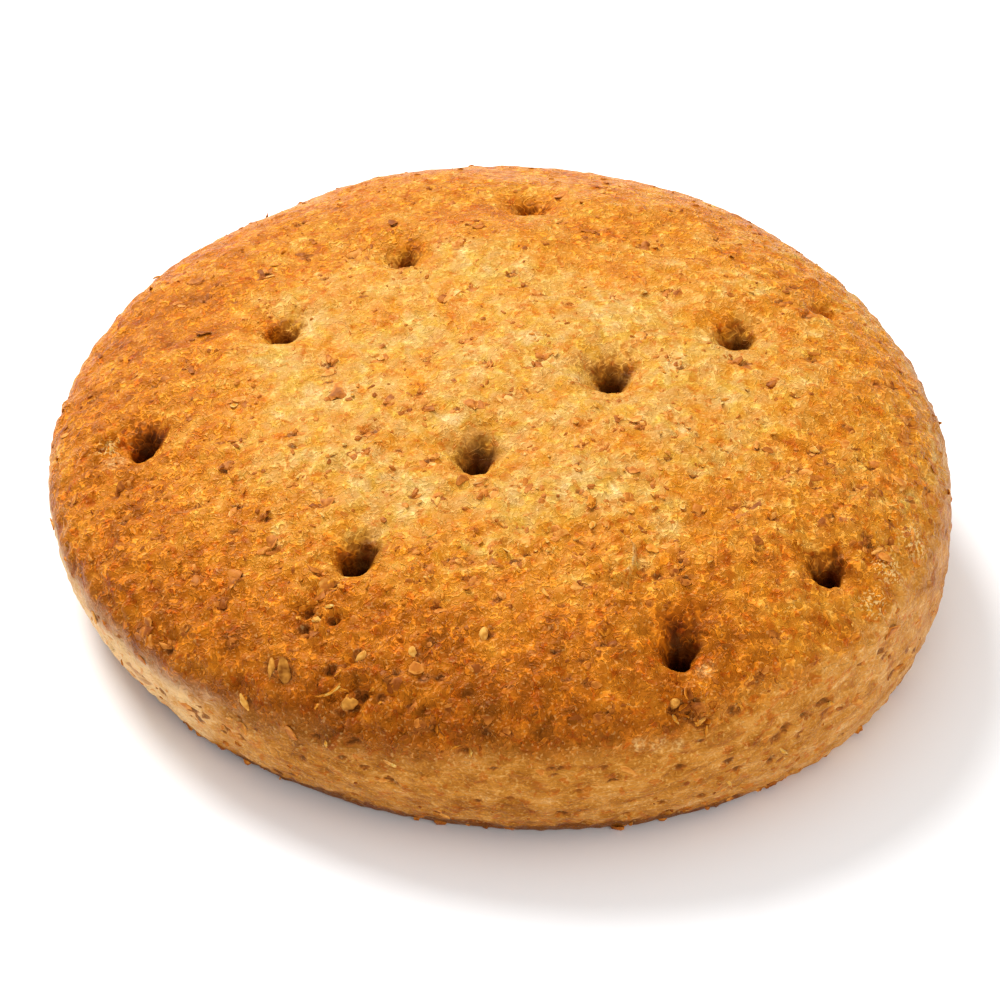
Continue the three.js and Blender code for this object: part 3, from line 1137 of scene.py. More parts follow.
@dataclass
class Crust:
    """The whole roll's skin, from the crown over the shoulder and side to the flat base."""

    form: RollForm
    holes: tuple[DockHole, ...]
    finish: CrustFinish
    gouges: tuple[Gouge, ...]
    browning: Browning = field(default_factory=Browning)
    name: str = "roll_crust"
    rows: int = 268
    fine_reach: float = 3.7
    crown_from: float = 20.0
    side_pits: int = 200
    side_pit_band: tuple[float, float] = (1.5, 15.5)
    crown_pits: int = 215
    crown_pits_above: tuple[float, float] = (18.5, 25.0)
    pit_radius: tuple[float, float] = (0.7, 1.3)
    pit_depth: tuple[float, float] = (0.2, 0.6)
    broad_lumps: float = 0.24
    small_lumps: float = 0.22
    bubbles: float = 0.36
    crumbs: float = 0.34
    crags: float = 0.5
    fine_crags: float = 0.2
    wall_lumps: float = 0.2
    coarseness: Coarseness = field(default_factory=Coarseness)
    blister: Blister = field(default_factory=Blister)
    seed: int = 5

    def build(self) -> tuple[bpy.types.Object, Ground]:
        """Models the crust and dresses it.

        Returns:
            The piece, and the ground that loose bits are laid on.
        """
        piece = self._roll_out()
        self._cut_finer(piece)
        skin = self._lay_over(piece)
        put_vertices(piece.data, skin.places)
        self._close_base(piece)
        rows, stain_and_shade = self._raise_relief(piece, skin)
        mesh = piece.data
        bake = self._note_finish(mesh, skin, stain_and_shade)
        mesh.materials.clear()
        mesh.materials.append(self.finish.material())
        shape = vertex_places(mesh), vertex_normals(mesh), corner_triples(mesh)
        return piece, Ground(*shape, skin.bare_height, skin.depth, bake, rows)

    def _roll_out(self) -> bpy.types.Object:
        """Rolls out a square sheet of dough whose edge will become the edge of the base."""
        bpy.ops.object.select_all(action="DESELECT")
        bpy.ops.mesh.primitive_grid_add(
            x_subdivisions=self.rows, y_subdivisions=self.rows, size=2 * self.form.sheet_radius * MM
        )
        piece = bpy.context.object
        piece.name = piece.data.name = self.name
        flat = vertex_places(piece.data) / self.form.sheet_radius
        round_x = flat[:, 0] * np.sqrt(1 - flat[:, 1] ** 2 / 2)
        round_y = flat[:, 1] * np.sqrt(1 - flat[:, 0] ** 2 / 2)
        put_vertices(piece.data, self.form.sheet_radius * np.stack([round_x, round_y, flat[:, 2]], axis=-1))
        return piece

    def _cut_finer(self, piece: bpy.types.Object) -> None:
        """Cuts the faces round each hole and in each torn patch into nine."""
        mesh = piece.data
        centres = np.empty(len(mesh.polygons) * 3, np.float32)
        mesh.polygons.foreach_get("center", centres)
        laid, _ = self.form.from_sheet(centres.reshape(-1, 3).astype(float) / MM)
        near = np.zeros(len(laid), bool)
        for hole in self.holes:
            near |= (hole.away(laid) < self.fine_reach) & (laid[:, 2] > self.form.widest_level)
        for patch in TORN_PATCHES:
            near |= patch.share(laid) > 0.0
        only_select(piece)
        edit_faces(mesh, near)
        bpy.ops.mesh.subdivide(number_cuts=2)
        bpy.ops.object.mode_set(mode="OBJECT")

    def _lay_over(self, piece: bpy.types.Object) -> Skin:
        """Lays the flat sheet over the roll and draws it into the holes."""
        places, bare_height = self.form.from_sheet(vertex_places(piece.data))
        skin = Skin(places, bare_height, *np.zeros((3, len(places))))
        for hole in self.holes:
            near = np.flatnonzero(hole.dips(places) & (bare_height > self.form.widest_level))
            drawn = places[near]
            skin.depth[near], skin.far_wall_shade[near], skin.dark[near] = hole.draw_in(drawn, self.form)
            places[near] = drawn
        return skin

    def _close_base(self, piece: bpy.types.Object) -> None:
        """Closes the open underside with one flat face."""
        only_select(piece)
        edit_unselected("EDGE")
        bpy.ops.mesh.select_non_manifold()
        bpy.ops.mesh.edge_face_add()
        bpy.ops.mesh.select_all(action="SELECT")
        bpy.ops.mesh.normals_make_consistent(inside=False)
        bpy.ops.object.mode_set(mode="OBJECT")
        bpy.ops.object.shade_smooth_by_angle(angle=math.radians(60))

    def _press_pits(self, skin: Skin) -> tuple[np.ndarray, np.ndarray, np.ndarray]:
        """Presses small creases into the crown and pits into the side.

        Args:
            skin: The crust's vertices.

        Returns:
            The middle vertices of the crown's creases, how deep each place is pressed, and how far it is
            stained and painted with shade.
        """
        rng = np.random.default_rng(self.seed)
        height = skin.bare_height
        coarse = 0.5 + 0.5 * smoothstep(-skin.places[:, 1], -20.0, 30.0)
        cut_fine = sum(patch.share(skin.places) for patch in TORN_PATCHES) > 0
        at_front, at_back = self.crown_pits_above
        lowest = np.where(skin.places[:, 1] > 5.0, at_back, at_front)
        on_crown = (height > lowest) * (skin.depth < 0.1) * np.where(cut_fine, 0.1, 1.0) * coarse
        low, high = self.side_pit_band
        on_side = (height > low) * (height < high)
        creases = rng.choice(len(height), self.crown_pits, p=on_crown / on_crown.sum())
        hollows = rng.choice(len(height), self.side_pits, p=on_side / on_side.sum())
        gouges = list(self.gouges)
        for rows, squeeze in ((creases, (1.0, 1.5, 1.0)), (hollows, FLAT_OVAL)):
            for row in rows:
                radius, deep = rng.uniform(*self.pit_radius), rng.uniform(*self.pit_depth)
                gouges.append(Gouge(tuple(skin.places[row]), radius, deep, squeeze))
        pressed, stain_and_shade = np.zeros((2, len(height)))
        for gouge in gouges:
            share = gouge.share(skin.places)
            pressed = np.maximum(pressed, gouge.deep * share**1.5)
            stain_and_shade = np.maximum(stain_and_shade, gouge.stain_and_shade_share * share)
        return creases, pressed, stain_and_shade

    def _raise_relief(self, piece: bpy.types.Object, skin: Skin) -> tuple[np.ndarray, np.ndarray]:
        """Roughens the smooth crust with lumps, bubbles, crumbs, crags, pits and the blister.

        Args:
            piece: The closed crust, changed in place.
            skin: Its smooth vertices.

        Returns:
            The middle vertices of the crown's creases, and how far each place is stained and painted with
            shade.
        """
        places = skin.places
        normals = vertex_normals(piece.data)
        dome = smoothstep(skin.bare_height, 15.0, 19.0)
        above_base = smoothstep(skin.bare_height, 0.0, 1.2)
        in_hole = smoothstep(skin.depth, 0.6, 2.0)
        coarse = self.coarseness.at(places)
        lumps = self.broad_lumps * dough_noise(places, 8.0, 3.1)
        lumps += self.small_lumps * dough_noise(places, 4.2, 7.7)
        bubbles = self.bubbles * (0.45 - bubbly_noise(places, 2.2, 1.3)) * dome * coarse
        crumbs = self.crumbs * dough_noise(places, 1.3, 5.5) * (0.5 + 0.5 * dome) * coarse
        torn = sum(patch.share(places) for patch in TORN_PATCHES[1:])
        crags = self.crags * torn * (0.3 - np.abs(dough_noise(places, 1.1, 4.9)))
        crags += self.fine_crags * torn * dough_noise(places, 0.6, 8.3)
        walls = self.wall_lumps * dough_noise(places, 1.5, 2.2) * in_hole
        creases, pressed, stain_and_shade = self._press_pits(skin)
        on_crust = (bubbles + crumbs + crags) * (1 - 0.6 * in_hole)
        relief = (lumps + on_crust + walls - pressed + self.blister.raised(places) * dome) * above_base
        put_vertices(piece.data, places + normals * relief[:, None])
        return creases, stain_and_shade

    def _note_finish(self, mesh: bpy.types.Mesh, skin: Skin, stain_and_shade: np.ndarray) -> np.ndarray:
        """Stores what the material needs to know about each place of the crust, and returns the browning."""
        places, height = vertex_places(mesh), skin.bare_height
        bake = self.browning.of_crown(self.form, places, height)
        ragged = 1 + 0.35 * dough_noise(places, 1.3, 9.4)
        dusty = 0.5 + 0.5 * dough_noise(places, 0.9, 2.7)
        # Floury places, and the near lips of holes, paler with a painted highlight.
        floury = 0.8 * sum(patch.share(places) for patch in FLOUR_AND_HIGHLIGHT_PATCHES) * dusty
        torn_lip = 0.9 * self.blister.lip(places) * (height > self.crown_from)
        store(mesh, "bake", bake)
        store(mesh, "side", self.browning.side_share(places, height))
        store(mesh, "side_tone", self.browning.of_side(places, height))
        store(mesh, "dusk", self.browning.dusk(places, height))
        # hole and wall carry the painted shade in the holes.
        store(mesh, "hole", smoothstep(skin.dark, 0.2, 6.0))
        store(mesh, "wall", smoothstep(skin.far_wall_shade * ragged, 0.35, 1.6))
        # pit carries the pits' stain and painted shade.
        store(mesh, "pit", stain_and_shade)
        store(mesh, "cream", np.clip(floury + torn_lip, 0.0, 1.0))
        store(mesh, "foam_glints", sum(patch.share(places) for patch in FOAMY_PATCHES))
        return bake


@dataclass(frozen=True)
class Span:
    """A range that random sizes are drawn from."""

    low: float
    high: float

    def draw(self, rng: np.random.Generator, count: int, favour_low: float = 1.0) -> np.ndarray:
        """Draws values, more of them low if the last number is above 1."""
        return self.low + (self.high - self.low) * rng.random(count) ** favour_low


class Zone(Enum):
    """Where on the roll a kind of loose bit lies."""

    CROWN = "crown"
    SIDE = "side"
    FOOT = "foot"

    def weight(self, ground: Ground) -> np.ndarray:
        """How likely each vertex of the crust is to hold a bit of this zone."""
        height = ground.bare_height
        if self is Zone.CROWN:
            return smoothstep(height, 16.0, 18.5) * (1 - smoothstep(ground.depth, 0.5, 1.2))
        if self is Zone.SIDE:
            return smoothstep(height, 1.0, 2.5) * (1 - smoothstep(height, 15.0, 17.0))
        return smoothstep(height, 0.2, 0.5) * (1 - smoothstep(height, 1.2, 2.0))


class BitShape(Enum):
    """The pattern that bits of one kind are cut to."""

    CHIP = "chip"
    GRAIN = "grain"


@dataclass
class Lie:
    """The size of each bit and the way it lies, one row for each."""

    length: np.ndarray
    width: np.ndarray
    thickness: np.ndarray
    turn: np.ndarray
    lift: np.ndarray
    sunk: np.ndarray
    curl: np.ndarray
    bow: np.ndarray


@dataclass(frozen=True)
class Cut:
    """The sizes that bits of one kind are cut to."""

    length: Span
    width_share: Span
    thickness: Span
    curl: Span = Span(-0.05, 0.12)
    bow: Span = Span(-0.1, 0.1)
    lift_deg: Span = Span(0.0, 14.0)
    turn_deg: Span = Span(0.0, 360.0)
    sunk: Span = Span(0.1, 0.5)
    ragged: float = 0.4
    bevel: float = 0.35
    edge_level: float = 0.1
    propped: float = 0.4
    pointed: float = 0.3
    grain_rings: int = 7
    corners: int = 9
    favour_small: float = 1.0
    shape: BitShape = BitShape.CHIP

    def lie(self, rng: np.random.Generator, count: int) -> Lie:
        """Draws the sizes of some bits and how they lie."""
        length = self.length.draw(rng, count, self.favour_small)
        return Lie(
            length,
            length * self.width_share.draw(rng, count),
            self.thickness.draw(rng, count),
            np.radians(self.turn_deg.draw(rng, count)),
            np.radians(self.lift_deg.draw(rng, count)),
            self.sunk.draw(rng, count),
            self.curl.draw(rng, count),
            self.bow.draw(rng, count),
        )


@dataclass(frozen=True)
class NamedBit:
    """One seed, husk or flake that stands out in the crust."""

    place: Place
    length: float
    width: float
    thickness: float
    turn_deg: float
    tone: float
    lift_deg: float = 6.0
    sunk: float = 0.65

    def bed(self) -> Gouge:
        """The small hollow that the bit lies in, coloured round the bit with stain and painted shade."""
        return Gouge(self.place, 0.5 * self.length + 0.35, 0.3)


@dataclass(frozen=True)
class Bits:
    """Loose bits of one kind, laid on the crust and joined into one piece."""

    name: str
    finish: FlakeFinish
    cut: Cut
    seed: int
    # How much paler each bit's upper rim is, a painted highlight.
    painted_rim_highlight: float = 0.18
    mottle: float = 0.2
    above_table: float = 0.02

    def scatter(
        self, ground: Ground, count: int, weight: np.ndarray, tone: Span, bake_share: float = 0.0
    ) -> bpy.types.Object:
        """Strews bits at random.

        Args:
            ground: The crust.
            count: How many bits.
            weight: How likely each vertex's surroundings are.
            tone: Range of the bits' shades.
            bake_share: How far a bit's shade follows the crust's browning.

        Returns:
            The joined piece.
        """
        rng = np.random.default_rng(self.seed)
        place, normal, bake = ground.pick(rng, count, weight)
        shade = tone.draw(rng, count) + bake_share * bake
        return self._join(rng, place, normal, shade, self.cut.lie(rng, count))

    def heap(
        self, ground: Ground, spots: Points, each: int, reach: float, tone: Span, bake_share: float
    ) -> bpy.types.Object:
        """Lays a few overlapping bits round each of some spots, like one crumpled flake.

        Args:
            ground: The crust.
            spots: The middles of the heaps.
            each: How many bits there are to a heap.
            reach: How far from a spot its bits lie.
            tone: Range of the bits' shades.
            bake_share: How far a bit's shade follows the crust's browning.

        Returns:
            The joined piece.
        """
        rng = np.random.default_rng(self.seed)
        around = np.repeat(spots, each, axis=0)
        place, normal, bake = ground.nearest(around + rng.normal(0.0, 0.5 * reach, around.shape))
        shade = tone.draw(rng, len(around)) + bake_share * bake
        return self._join(rng, place, normal, shade, self.cut.lie(rng, len(around)))

    def lay(self, ground: Ground, bits: tuple[NamedBit, ...]) -> bpy.types.Object:
        """Lays named bits at their own places and sizes."""
        rng = np.random.default_rng(self.seed)
        place, normal, _ = ground.nearest(np.array([bit.place for bit in bits]))
        lie = self.cut.lie(rng, len(bits))
        lie.length = np.array([bit.length for bit in bits])
        lie.width = np.array([bit.width for bit in bits])
        lie.thickness = np.array([bit.thickness for bit in bits])
        lie.turn = np.radians([bit.turn_deg for bit in bits])
        lie.lift = np.radians([bit.lift_deg for bit in bits])
        lie.sunk = np.array([bit.sunk for bit in bits])
        return self._join(rng, place, normal, np.array([bit.tone for bit in bits]), lie)

    def _chip(self) -> None:
        """Adds a round chip with a bevelled top."""
        bpy.ops.mesh.primitive_cylinder_add(vertices=self.cut.corners, radius=MM, depth=2 * MM)
        mesh = bpy.context.object.data
        edit_faces(mesh, np.array([face.normal.z > 0.9 for face in mesh.polygons]))
        bpy.ops.mesh.inset(thickness=self.cut.bevel * MM)
        bpy.ops.object.mode_set(mode="OBJECT")

    def _grain(self) -> None:
        """Adds a round grain, which is drawn out to a blunt point at each end."""
        bpy.ops.mesh.primitive_uv_sphere_add(
            segments=self.cut.corners,
            ring_count=self.cut.grain_rings,
            radius=MM,
            rotation=(0.0, math.pi / 2, 0.0),
        )
        bpy.ops.object.transform_apply(rotation=True)
        places = vertex_places(bpy.context.object.data)
        places[:, 1:] *= 1 - self.cut.pointed * places[:, :1] ** 2
        put_vertices(bpy.context.object.data, places)

    def _shape(self) -> tuple[Points, np.ndarray, np.ndarray]:
        """Makes one pattern bit.

        Returns:
            Its places, its triangles, and how far each place is on its upper rim.
        """
        bpy.ops.object.select_all(action="DESELECT")
        if self.cut.shape is BitShape.CHIP:
            self._chip()
        else:
            self._grain()
        mesh = bpy.context.object.data
        places, triples = vertex_places(mesh), corner_triples(mesh)
        triples = triples[np.lexsort(triples.T)]  # Blender lists a sphere's faces in no fixed order
        bpy.ops.object.delete()
        if self.cut.shape is BitShape.GRAIN:
            return places, triples, np.zeros(len(places))
        on_rim = (places[:, 2] > 0) & (np.hypot(places[:, 0], places[:, 1]) > 0.95)
        places[on_rim, 2] = self.cut.edge_level
        return places, triples, on_rim.astype(float)

    def _join(
        self, rng: np.random.Generator, place: Points, normal: Points, shade: np.ndarray, lie: Lie
    ) -> bpy.types.Object:
        """Cuts, bends, turns and lays every bit, and joins them.

        Args:
            rng: The random source.
            place: Where each bit lies.
            normal: The crust's outward direction there.
            shade: The bit's shade.
            lie: The bits' sizes and the way they lie.

        Returns:
            The joined piece.
        """
        pattern, triples, rim = self._shape()
        count, cut = len(place), self.cut
        length, width, thickness, turn, lift, sunk, curl, bow = (value[:, None] for value in astuple(lie))
        way_round = np.arctan2(pattern[:, 1], pattern[:, 0]) / (2 * math.pi)
        corner = np.rint(way_round * cut.corners).astype(int) % cut.corners
        outline = 1 + cut.ragged * rng.uniform(-1, 1, (count, cut.corners))[:, corner]
        along, across = pattern[:, 0] * outline, pattern[:, 1] * outline
        up = pattern[:, 2] * (1 + cut.ragged * rng.uniform(-1, 1, (count, len(pattern))))
        x = along * length / 2
        y = across * width / 2 + bow * length * (along**2 - 0.5)
        z = up * thickness / 2 + curl * length * along**2
        x, z = x * np.cos(lift) - z * np.sin(lift), x * np.sin(lift) + z * np.cos(lift)
        z = z + cut.propped * length * np.sin(lift) + thickness * (0.5 - sunk)
        x, y = x * np.cos(turn) - y * np.sin(turn), x * np.sin(turn) + y * np.cos(turn)
        level = np.where(np.abs(normal[:, :1]) < 0.95, (1.0, 0.0, 0.0), (0.0, 1.0, 0.0))
        side = level - (level * normal).sum(axis=1)[:, None] * normal
        side /= np.linalg.norm(side, axis=1)[:, None]
        other = np.cross(normal, side)
        laid = place[:, None] + x[..., None] * side[:, None] + y[..., None] * other[:, None]
        laid = laid + z[..., None] * normal[:, None]
        laid[..., 2] = laid[..., 2].clip(self.above_table)
        mottled = shade[:, None] + self.mottle * rng.uniform(-1, 1, (count, len(pattern)))
        # Paler upper rims: a painted highlight along each bit's edge.
        tones = mottled - self.painted_rim_highlight * rim
        rows = triples[None] + (np.arange(count) * len(pattern))[:, None, None]
        return self._piece(laid.reshape(-1, 3), rows.reshape(-1, 3), tones.ravel())

    def _piece(self, places: Points, triples: np.ndarray, tone: np.ndarray) -> bpy.types.Object:
        """Makes the joined mesh's object and dresses it."""
        mesh = bpy.data.meshes.new(self.name)
        mesh.from_pydata((places * MM).tolist(), [], triples.tolist())
        mesh.update()
        store(mesh, "tone", tone)
        mesh.materials.append(self.finish.material())
        piece = bpy.data.objects.new(self.name, mesh)
        bpy.context.scene.collection.objects.link(piece)
        only_select(piece)
        bpy.ops.object.shade_smooth_by_angle(angle=math.radians(50))
        return piece


SEEDS = (
    NamedBit((-15.4, -45.1, 21.3), 1.8, 1.0, 0.8, 38.0, 0.15),
    NamedBit((-9.3, -45.4, 22.3), 1.35, 1.1, 1.0, 100.0, 0.0),
    NamedBit((-1.2, -44.1, 23.8), 1.7, 1.25, 1.1, 85.0, 0.15),
    NamedBit((-25.6, -44.3, 18.7), 2.6, 1.1, 0.7, 82.0, 0.35),
    NamedBit((-24.0, -45.1, 18.8), 3.4, 1.6, 0.8, 103.0, 0.65),
    NamedBit((-28.4, -45.7, 14.8), 2.1, 0.8, 0.6, 115.0, 0.15),
    NamedBit((-16.5, -49.8, 18.0), 2.0, 1.6, 1.0, 20.0, 0.45),
    NamedBit((19.8, -51.6, 19.1), 2.6, 1.3, 0.9, 95.0, 0.3),
    NamedBit((22.4, -51.8, 17.3), 1.9, 1.2, 0.8, 60.0, 0.4),
    NamedBit((-7.8, -24.9, 29.0), 1.6, 0.7, 0.7, 75.0, -0.1),
)
TORN_FLAKES = (
    NamedBit((-2.7, -54.9, 15.4), 1.3, 0.60, 0.2, -40.0, 0.42, 28.0),
    NamedBit((-4.7, -54.6, 15.9), 0.9, 0.22, 0.15, 30.0, 0.52, 10.0),
    NamedBit((32.2, -47.3, 8.8), 1.6, 0.52, 0.18, -38.0, 0.32, 22.0),
    NamedBit((26.0, -49.8, 6.1), 1.4, 0.38, 0.16, -70.0, 0.37, 18.0),
    NamedBit((-19.2, -50.8, 13.3), 0.9, 0.38, 0.2, -60.0, 0.42, 20.0),
    NamedBit((-11.6, -53.4, 12.5), 0.8, 0.52, 0.3, 10.0, 0.37),
    NamedBit((37.6, -44.0, 13.0), 0.9, 0.45, 0.2, -20.0, 0.42, 15.0),
    NamedBit((-19.6, -48.4, 18.1), 1.5, 0.41, 0.22, 8.0, 0.60),
    NamedBit((-18.2, -48.4, 18.7), 1.7, 0.38, 0.25, 18.0, 0.54),
    NamedBit((-17.1, -48.5, 19.0), 1.4, 0.41, 0.22, -15.0, 0.60),
    NamedBit((-20.0, -49.1, 17.2), 1.0, 0.30, 0.25, -105.0, 0.52, 20.0),
    NamedBit((-16.7, -49.2, 18.5), 0.9, 0.30, 0.2, -80.0, 0.62, 25.0),
    NamedBit((-14.2, -49.0, 19.6), 1.2, 0.38, 0.22, 28.0, 0.58, 12.0),
    NamedBit((-12.7, -50.6, 18.7), 1.0, 0.38, 0.2, -60.0, 0.62, 18.0),
    NamedBit((-10.6, -51.2, 18.8), 0.9, 0.34, 0.2, -100.0, 0.64, 15.0),
    NamedBit((-20.4, -40.1, 22.3), 1.3, 0.83, 0.3, -60.0, 0.42, 22.0),
    NamedBit((-19.1, -39.0, 22.9), 1.4, 0.90, 0.3, -45.0, 0.34, 30.0),
    NamedBit((-21.0, -37.9, 22.7), 1.2, 0.52, 0.25, 15.0, 0.60, 12.0),
    NamedBit((-22.4, -39.6, 21.9), 1.0, 0.60, 0.25, -100.0, 0.52, 20.0),
    NamedBit((19.7, -52.4, 18.1), 1.2, 0.45, 0.25, -75.0, 0.47, 15.0),
    NamedBit((22.3, -52.0, 17.1), 1.4, 0.75, 0.3, -60.0, 0.50, 18.0),
    NamedBit((23.2, -52.0, 16.1), 1.0, 0.52, 0.25, -95.0, 0.57, 15.0),
    NamedBit((24.8, -51.2, 16.7), 1.1, 0.45, 0.25, -20.0, 0.50, 15.0),
    NamedBit((26.4, -50.1, 17.8), 1.1, 0.38, 0.25, -50.0, 0.52, 20.0),
    NamedBit((-47.1, -5.2, 20.9), 0.7, 0.60, 0.5, 0.0, 0.37),
    NamedBit((-46.4, -6.6, 21.1), 0.6, 0.52, 0.5, 40.0, 0.32),
    NamedBit((-45.6, -5.6, 21.6), 0.6, 0.45, 0.4, 80.0, 0.42),
    NamedBit((17.3, -33.3, 27.1), 1.5, 0.85, 0.18, -55.0, 0.56, 14.0, 0.4),
    NamedBit((10.5, -26.7, 28.1), 1.8, 0.98, 0.22, -90.0, 0.58, 16.0),
    NamedBit((43.2, 16.5, 26.2), 0.8, 0.60, 0.5, 20.0, 0.22),
    NamedBit((44.0, 15.2, 26.1), 0.6, 0.52, 0.5, 60.0, 0.27),
)
BRAN_HEAPS: tuple[Place, ...] = (
    (-8.0, -8.1, 28.4),
    (1.2, -8.0, 29.2),
    (3.8, -16.6, 28.8),
    (3.2, -23.0, 28.2),
    (6.2, -30.5, 27.4),
    (8.7, -34.3, 26.8),
    (-0.8, -34.0, 26.3),
    (13.4, -13.9, 29.6),
    (12.7, -17.9, 29.2),
    (14.8, -30.4, 27.7),
    (17.8, -23.0, 28.8),
    (19.7, -32.9, 27.2),
    (47.6, -17.8, 24.7),
    (-40.1, -35.2, 15.7),
)
BRAN_FLAKES = Bits(
    "bran_flakes",
    BRAN_FINISH,
    Cut(
        Span(0.7, 1.9),
        Span(0.35, 0.9),
        Span(0.14, 0.32),
        curl=Span(-0.15, 0.1),
        lift_deg=Span(1.0, 9.0),
        sunk=Span(0.5, 1.05),
        favour_small=1.3,
    ),
    seed=11,
    painted_rim_highlight=0.14,
)
BRAN_FLECKS = Bits(
    "bran_flecks",
    BRAN_FINISH,
    Cut(Span(0.35, 0.95), Span(0.4, 0.9), Span(0.14, 0.3), sunk=Span(0.55, 1.0), corners=6),
    seed=13,
    painted_rim_highlight=0.1,
)
CRUST_FLAKES = Bits(
    "crust_flakes",
    CURL_FINISH,
    Cut(
        Span(0.6, 1.6),
        Span(0.25, 0.5),
        Span(0.12, 0.22),
        curl=Span(-0.15, 0.2),
        lift_deg=Span(5.0, 32.0),
        turn_deg=Span(-160.0, -20.0),
        sunk=Span(0.6, 1.2),
        favour_small=1.6,
    ),
    seed=17,
)
SIDE_BRAN = Bits(
    "side_bran",
    BRAN_FINISH,
    Cut(
        Span(0.7, 2.2),
        Span(0.35, 0.7),
        Span(0.15, 0.3),
        sunk=Span(0.5, 0.9),
        turn_deg=Span(-28.0, 28.0),
        favour_small=1.5,
    ),
    seed=23,
    painted_rim_highlight=0.1,
)
RIM_BRAN = Bits(
    "rim_bran",
    BRAN_FINISH,
    Cut(Span(0.5, 1.8), Span(0.4, 0.9), Span(0.25, 0.7), sunk=Span(0.6, 0.95)),
    seed=29,
)
WHOLE_SEEDS = Bits(
    "seeds",
    SEED_FINISH,
    Cut(
        Span(1.0, 2.0),
        Span(0.4, 0.7),
        Span(0.6, 1.0),
        sunk=Span(0.5, 0.65),
        ragged=0.12,
        corners=10,
        shape=BitShape.GRAIN,
    ),
    seed=31,
)
TORN_CRUST = Bits(
    "torn_flakes",
    CURL_FINISH,
    Cut(Span(1.0, 2.0), Span(0.3, 0.6), Span(0.2, 0.3), ragged=0.5, corners=13),
    seed=37,
)


@dataclass
class Toppings:
    """Everything that lies in and on the crust."""

    ground: Ground
    clump_size: float = 9.0
    heap_bits: int = 4
    heap_reach: float = 1.0
    fleck_count: int = 1200
    flake_count: int = 320
    side_count: int = 130
    rim_count: int = 80

    def build(self) -> list[bpy.types.Object]:
        """Lays the bran, the grains and the curls of crust."""
        ground = self.ground
        clumps = smoothstep(dough_noise(ground.places, self.clump_size, 6.3), -0.35, 0.4)
        crown, side, foot = (zone.weight(ground) for zone in Zone)
        front = 0.1 + 0.9 * smoothstep(-ground.places[:, 1], -10.0, 35.0)
        crags = sum(patch.share(ground.places) for patch in CRAGGY_PATCHES)
        heaps = np.concatenate([np.array(BRAN_HEAPS), ground.places[ground.pit_rows]])
        flecked = crown * (0.4 + clumps) + 0.15 * side
        curled = crown * front * (0.2 + clumps + 2.0 * crags)
        return [
            BRAN_FLAKES.heap(ground, heaps, self.heap_bits, self.heap_reach, Span(0.12, 0.68), 0.6),
            BRAN_FLECKS.scatter(ground, self.fleck_count, flecked, Span(0.12, 0.62), 0.7),
            CRUST_FLAKES.scatter(ground, self.flake_count, curled, Span(-0.05, 0.2), 1.0),
            TORN_CRUST.lay(ground, TORN_FLAKES),
            SIDE_BRAN.scatter(ground, self.side_count, side, Span(0.35, 0.85)),
            RIM_BRAN.scatter(ground, self.rim_count, foot, Span(0.6, 1.0)),
            WHOLE_SEEDS.lay(ground, SEEDS),
        ]


@dataclass(frozen=True)
class PhotoCamera:
    """The camera at the photograph's angle. The roll's aim point shows at a named pixel of the picture."""

    aim: Place = (-1.5, -1.18, 12.0)
    elevation_deg: float = 38.0
    distance: float = 450.0
    focal_pixels: float = 3671.5
    aim_pixel: tuple[float, float] = (484.5, 478.1)
    picture_side: float = 1000.0
    sensor_width: float = 36.0

    def build(self) -> bpy.types.Object:
        """Adds the camera and makes it the scene's own."""
        data = bpy.data.cameras.new("photo_camera")
        camera = bpy.data.objects.new("photo_camera", data)
        bpy.context.scene.collection.objects.link(camera)
        elevation = math.radians(self.elevation_deg)
        back = Vector((0.0, -math.cos(elevation), math.sin(elevation)))
        camera.location = (Vector(self.aim) + self.distance * back) * MM
        camera.rotation_euler = (math.pi / 2 - elevation, 0.0, 0.0)
        data.sensor_width = self.sensor_width
        data.lens = self.focal_pixels / self.picture_side * self.sensor_width
        middle = self.picture_side / 2
        data.shift_x = (middle - self.aim_pixel[0]) / self.picture_side
        data.shift_y = (self.aim_pixel[1] - middle) / self.picture_side
        bpy.context.scene.camera = camera
        return camera


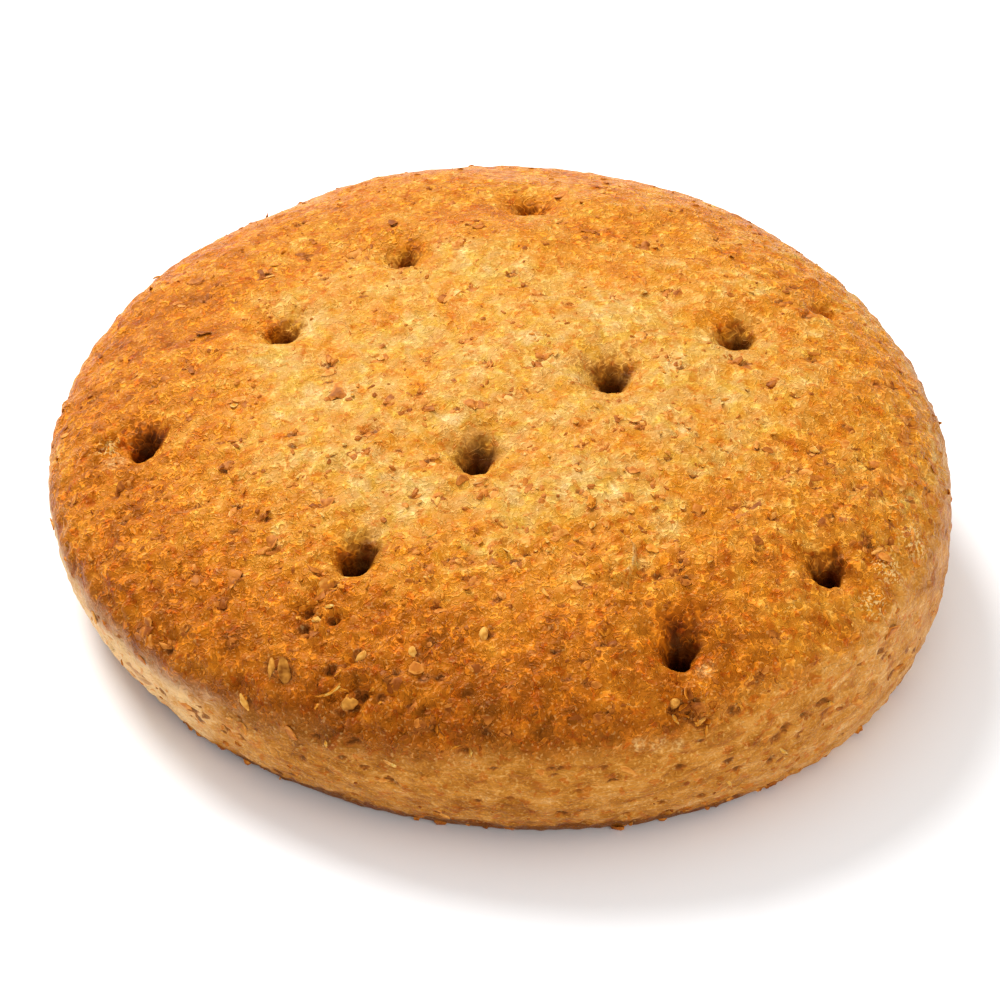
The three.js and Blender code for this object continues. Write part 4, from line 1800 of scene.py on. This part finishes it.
@dataclass(frozen=True)
class SoftLight:
    """One large soft lamp that points at the roll."""

    name: str
    place: Place
    side: float
    watts: float

    def build(self) -> bpy.types.Object:
        """Adds the lamp."""
        data = bpy.data.lights.new(self.name, "AREA")
        data.shape = "DISK"
        data.size = self.side * MM
        data.energy = self.watts
        lamp = bpy.data.objects.new(self.name, data)
        bpy.context.scene.collection.objects.link(lamp)
        lamp.location = Vector(self.place) * MM
        lamp.rotation_euler = (-lamp.location).to_track_quat("-Z", "Y").to_euler()
        return lamp


@dataclass
class Studio:
    """The pale floor, the soft lights and the camera."""

    floor_finish: FloorFinish = field(default_factory=FloorFinish)
    camera: PhotoCamera = field(default_factory=PhotoCamera)
    lights: tuple[SoftLight, ...] = (
        SoftLight("key", (-300.0, 440.0, 620.0), 420.0, 8.0),
        SoftLight("fill", (300.0, -620.0, 200.0), 600.0, 2.35),
        SoftLight("top", (0.0, 0.0, 900.0), 900.0, 2.1),
    )
    floor_radius: float = 3000.0
    floor_corners: int = 96
    sky_colour: Colour = (1.0, 1.0, 1.0)
    sky_strength: float = 0.55

    def build(self) -> None:
        """Sets the stage up."""
        bpy.ops.object.select_all(action="DESELECT")
        bpy.ops.mesh.primitive_circle_add(
            vertices=self.floor_corners, radius=self.floor_radius * MM, fill_type="NGON"
        )
        floor = bpy.context.object
        floor.name = "studio_floor"
        floor.data.materials.append(self.floor_finish.material())
        for light in self.lights:
            light.build()
        world = bpy.data.worlds.new("soft_sky")
        world.use_nodes = True
        sky = world.node_tree.nodes["Background"]
        sky.inputs["Strength"].default_value = self.sky_strength
        sky.inputs["Color"].default_value = (*self.sky_colour, 1.0)
        bpy.context.scene.world = world
        bpy.context.scene.view_settings.view_transform = "Standard"
        self.camera.build()


def ride(piece: bpy.types.Object) -> None:
    """Fixes a finished piece to the part, in place of the CAD roll, and reports it."""
    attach(piece, BODY)
    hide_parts(NODE)
    triangles = sum(len(face.vertices) - 2 for face in piece.data.polygons)
    LOG.info("%s: %d vertices, %d triangles", piece.name, len(piece.data.vertices), triangles)


def main() -> None:
    """Builds the roll and sets the stage."""
    logging.basicConfig(level=logging.INFO, format="%(message)s")
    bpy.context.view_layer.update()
    gouges = GOUGES + tuple(seed.bed() for seed in SEEDS)
    crust, ground = Crust(RollForm(), DOCK_HOLES, CrustFinish(), gouges).build()
    ride(crust)
    for piece in Toppings(ground).build():
        ride(piece)
    Studio().build()


if __name__ == "__main__":
    main()
